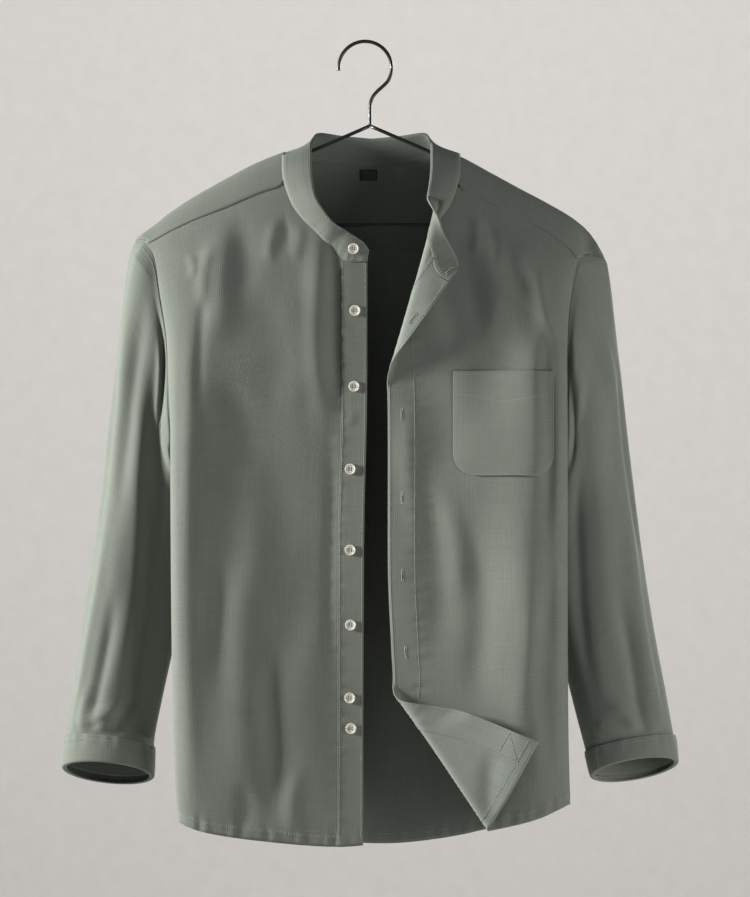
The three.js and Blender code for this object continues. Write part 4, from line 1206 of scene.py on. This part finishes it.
def make_buttons():
    source = make_button_mesh()
    u = np.array([COLLAR_BUTTON_SHARE])
    v = np.array([0.5])
    out = normals(collar_surface, u, v, COLLAR_SIGN)[0]
    foot = np.stack(collar_surface(u, v), -1)[0] + out * 1.3
    places = [(foot, out)]
    for x, z in zip(BUTTON_PLACES["x"], BUTTON_PLACES["z"]):
        y = float(height_at(np.array([x]), np.array([z]), False)[0])
        places.append((np.array([x, y - CAD_CLOTH / 2 - 1.6, z]), np.array([0.0, -1.0, 0.0])))
    for number, (foot, out) in enumerate(places):
        piece = placed_copy(source, f"resin_button_{number + 1}", foot, out)
        add_to_frame(piece, "button", f"button_{number + 1}")
        side = np.cross([0.0, 0.0, 1.0], out)
        side = side / np.linalg.norm(side)
        up = np.cross(out, side)
        top = foot + out * (BUTTON["height"] - BUTTON["dish"] + 0.15)
        aside = side * THREAD_HOLE["from_centre"]
        starts = np.array([top + aside - up * 1.5, top - aside - up * 1.5])
        ends = np.array([top + aside + up * 1.5, top - aside + up * 1.5])
        stitch_mesh(f"button_thread_{number + 1}", starts, ends, np.array([out, out]), 0.42, THREAD_DARK)
    bpy.data.objects.remove(source, do_unlink=True)


# Hanger

def wire_piece(name, points, replaced):
    """Round lacquered wire along a smooth line of points."""
    curve = bpy.data.curves.new(name, "CURVE")
    curve.dimensions = "3D"
    curve.bevel_depth = WIRE / 2 * MM
    curve.bevel_resolution = 5
    curve.resolution_u = 10
    curve.use_fill_caps = True
    spline = curve.splines.new("NURBS")
    spline.points.add(len(points) - 1)
    for target, (x, z) in zip(spline.points, points):
        target.co = (x * MM, 0, z * MM, 1)
    spline.order_u = 3
    spline.use_endpoint_u = True
    select_only(linked(name, curve))
    bpy.ops.object.convert(target="MESH")
    piece = bpy.context.object
    piece.data.polygons.foreach_set("use_smooth", [True] * len(piece.data.polygons))
    merge_doubles(piece)
    piece.data.materials.clear()
    piece.data.materials.append(LACQUER)
    add_to_frame(piece, "wire", replaced)


def make_hanger():
    centre = WIRE / 2 - HOOK_RADIUS
    hook = [(HOOK_RADIUS * math.cos(a * DEGREE), centre + HOOK_RADIUS * math.sin(a * DEGREE))
            for a in range(186, -35, -10)]
    hook += [(STEM_X + 4, -56), (STEM_X, -66), (STEM_X, -76), (STEM_X, STEM_FOOT)]
    wire_piece("wire_hook", hook, "hanger_hook")
    for name, outward in (("left", -1), ("right", 1)):
        points = list(zip(ARM_TOP[name], ARM_TOP["z"]))
        points += [(x, float(ridge_z(x)) - ARM_UNDER_RIDGE["below"]) for x in ARM_UNDER_RIDGE[name]]
        x, z = points[-1]
        points += [(x + outward * 9, z - 9), (x + outward * 6, BAR_Z + 2), (x, BAR_Z)]
        wire_piece(f"wire_arm_{name}", points, f"hanger_arm_{name}")
    wire_piece("wire_bar", [(BAR_ENDS[0], BAR_Z), (0, BAR_Z), (BAR_ENDS[1], BAR_Z)], "hanger_bar")


# Stage, light and camera

def stage_plane(name, corners, material):
    deselect()
    bpy.ops.mesh.primitive_plane_add(size=1)
    plane = bpy.context.object
    plane.name = name
    for vertex, place in zip(plane.data.vertices, corners):
        vertex.co = place
    plane.data.materials.append(material)


def make_stage():
    """A pale wall far enough back that views from behind still see the shirt, and a floor."""
    plaster = plain_finish("pale_plaster", "#cdcac6", "#d6d3cf", 60, 0.95, 0.1)
    far = 9
    low = -2.8
    high = 5
    wide = 9
    bottom = [(-wide, far, low), (wide, far, low)]
    stage_plane("backdrop", bottom + [(-wide, far, high), (wide, far, high)], plaster)
    stage_plane("floor", [(-wide, -wide, low), (wide, -wide, low)] + bottom, plaster)
    area_light("wall_wash", (0, 3.4, 2.9), (0, far, -2.4), (9.5, 2.4), 400)


def area_light(name, place, target, size, power):
    light = bpy.data.lights.new(name, "AREA")
    light.shape = "RECTANGLE"
    light.size, light.size_y = size
    light.energy = power
    aim(linked(name, light), place, target)


def aim(thing, place, target):
    place = mathutils.Vector(place)
    thing.location = place
    thing.rotation_euler = (mathutils.Vector(target) - place).to_track_quat("-Z", "Y").to_euler()


CAMERA = {"distance": 4.0, "x": 10.8, "z": -443.3, "front": -50, "high_mm": 968.8, "sensor_mm": 36}


def make_camera():
    """Level with the middle of the frame, 1.08 mm to each pixel at the shirt's front."""
    data = bpy.data.cameras.new("camera")
    camera = linked("camera", data)
    data.sensor_width = CAMERA["sensor_mm"]
    data.lens = CAMERA["sensor_mm"] * CAMERA["distance"] / (CAMERA["high_mm"] * MM)
    place = (CAMERA["x"] * MM, CAMERA["front"] * MM - CAMERA["distance"], CAMERA["z"] * MM)
    aim(camera, place, (place[0], 0, place[2]))
    bpy.context.scene.camera = camera


def make_light():
    world = bpy.data.worlds.new("studio")
    world.use_nodes = True
    background = world.node_tree.nodes["Background"]
    background.inputs["Color"].default_value = linear("#f2f4f6")
    background.inputs["Strength"].default_value = 0.12
    bpy.context.scene.world = world
    area_light("key", (-3.0, -0.46, 0.16), (0, 0, -0.5), (0.6, 0.6), 245)
    area_light("front", (-0.8, -3.4, 0.4), (0, 0, -0.5), (1.6, 1.6), 2)
    area_light("right_fill", (3.1, -1.1, -0.7), (0.2, 0, -0.65), (1.6, 1.6), 34)
    area_light("sleeve_fill", (1.15, -0.85, -0.6), (0.27, 0, -0.6), (0.5, 0.5), 6.5)
    area_light("back_fill", (1.8, 2.3, 0.3), (0, 0, -0.5), (1.0, 1.0), 55)
    bpy.context.scene.view_settings.view_transform = "Standard"


make_camera()
make_light()
make_stage()
make_panels()
make_collar()
make_plackets()
make_sleeves()
make_pocket()
make_label()
make_stitches()
make_buttonholes()
make_buttons()
make_hanger()
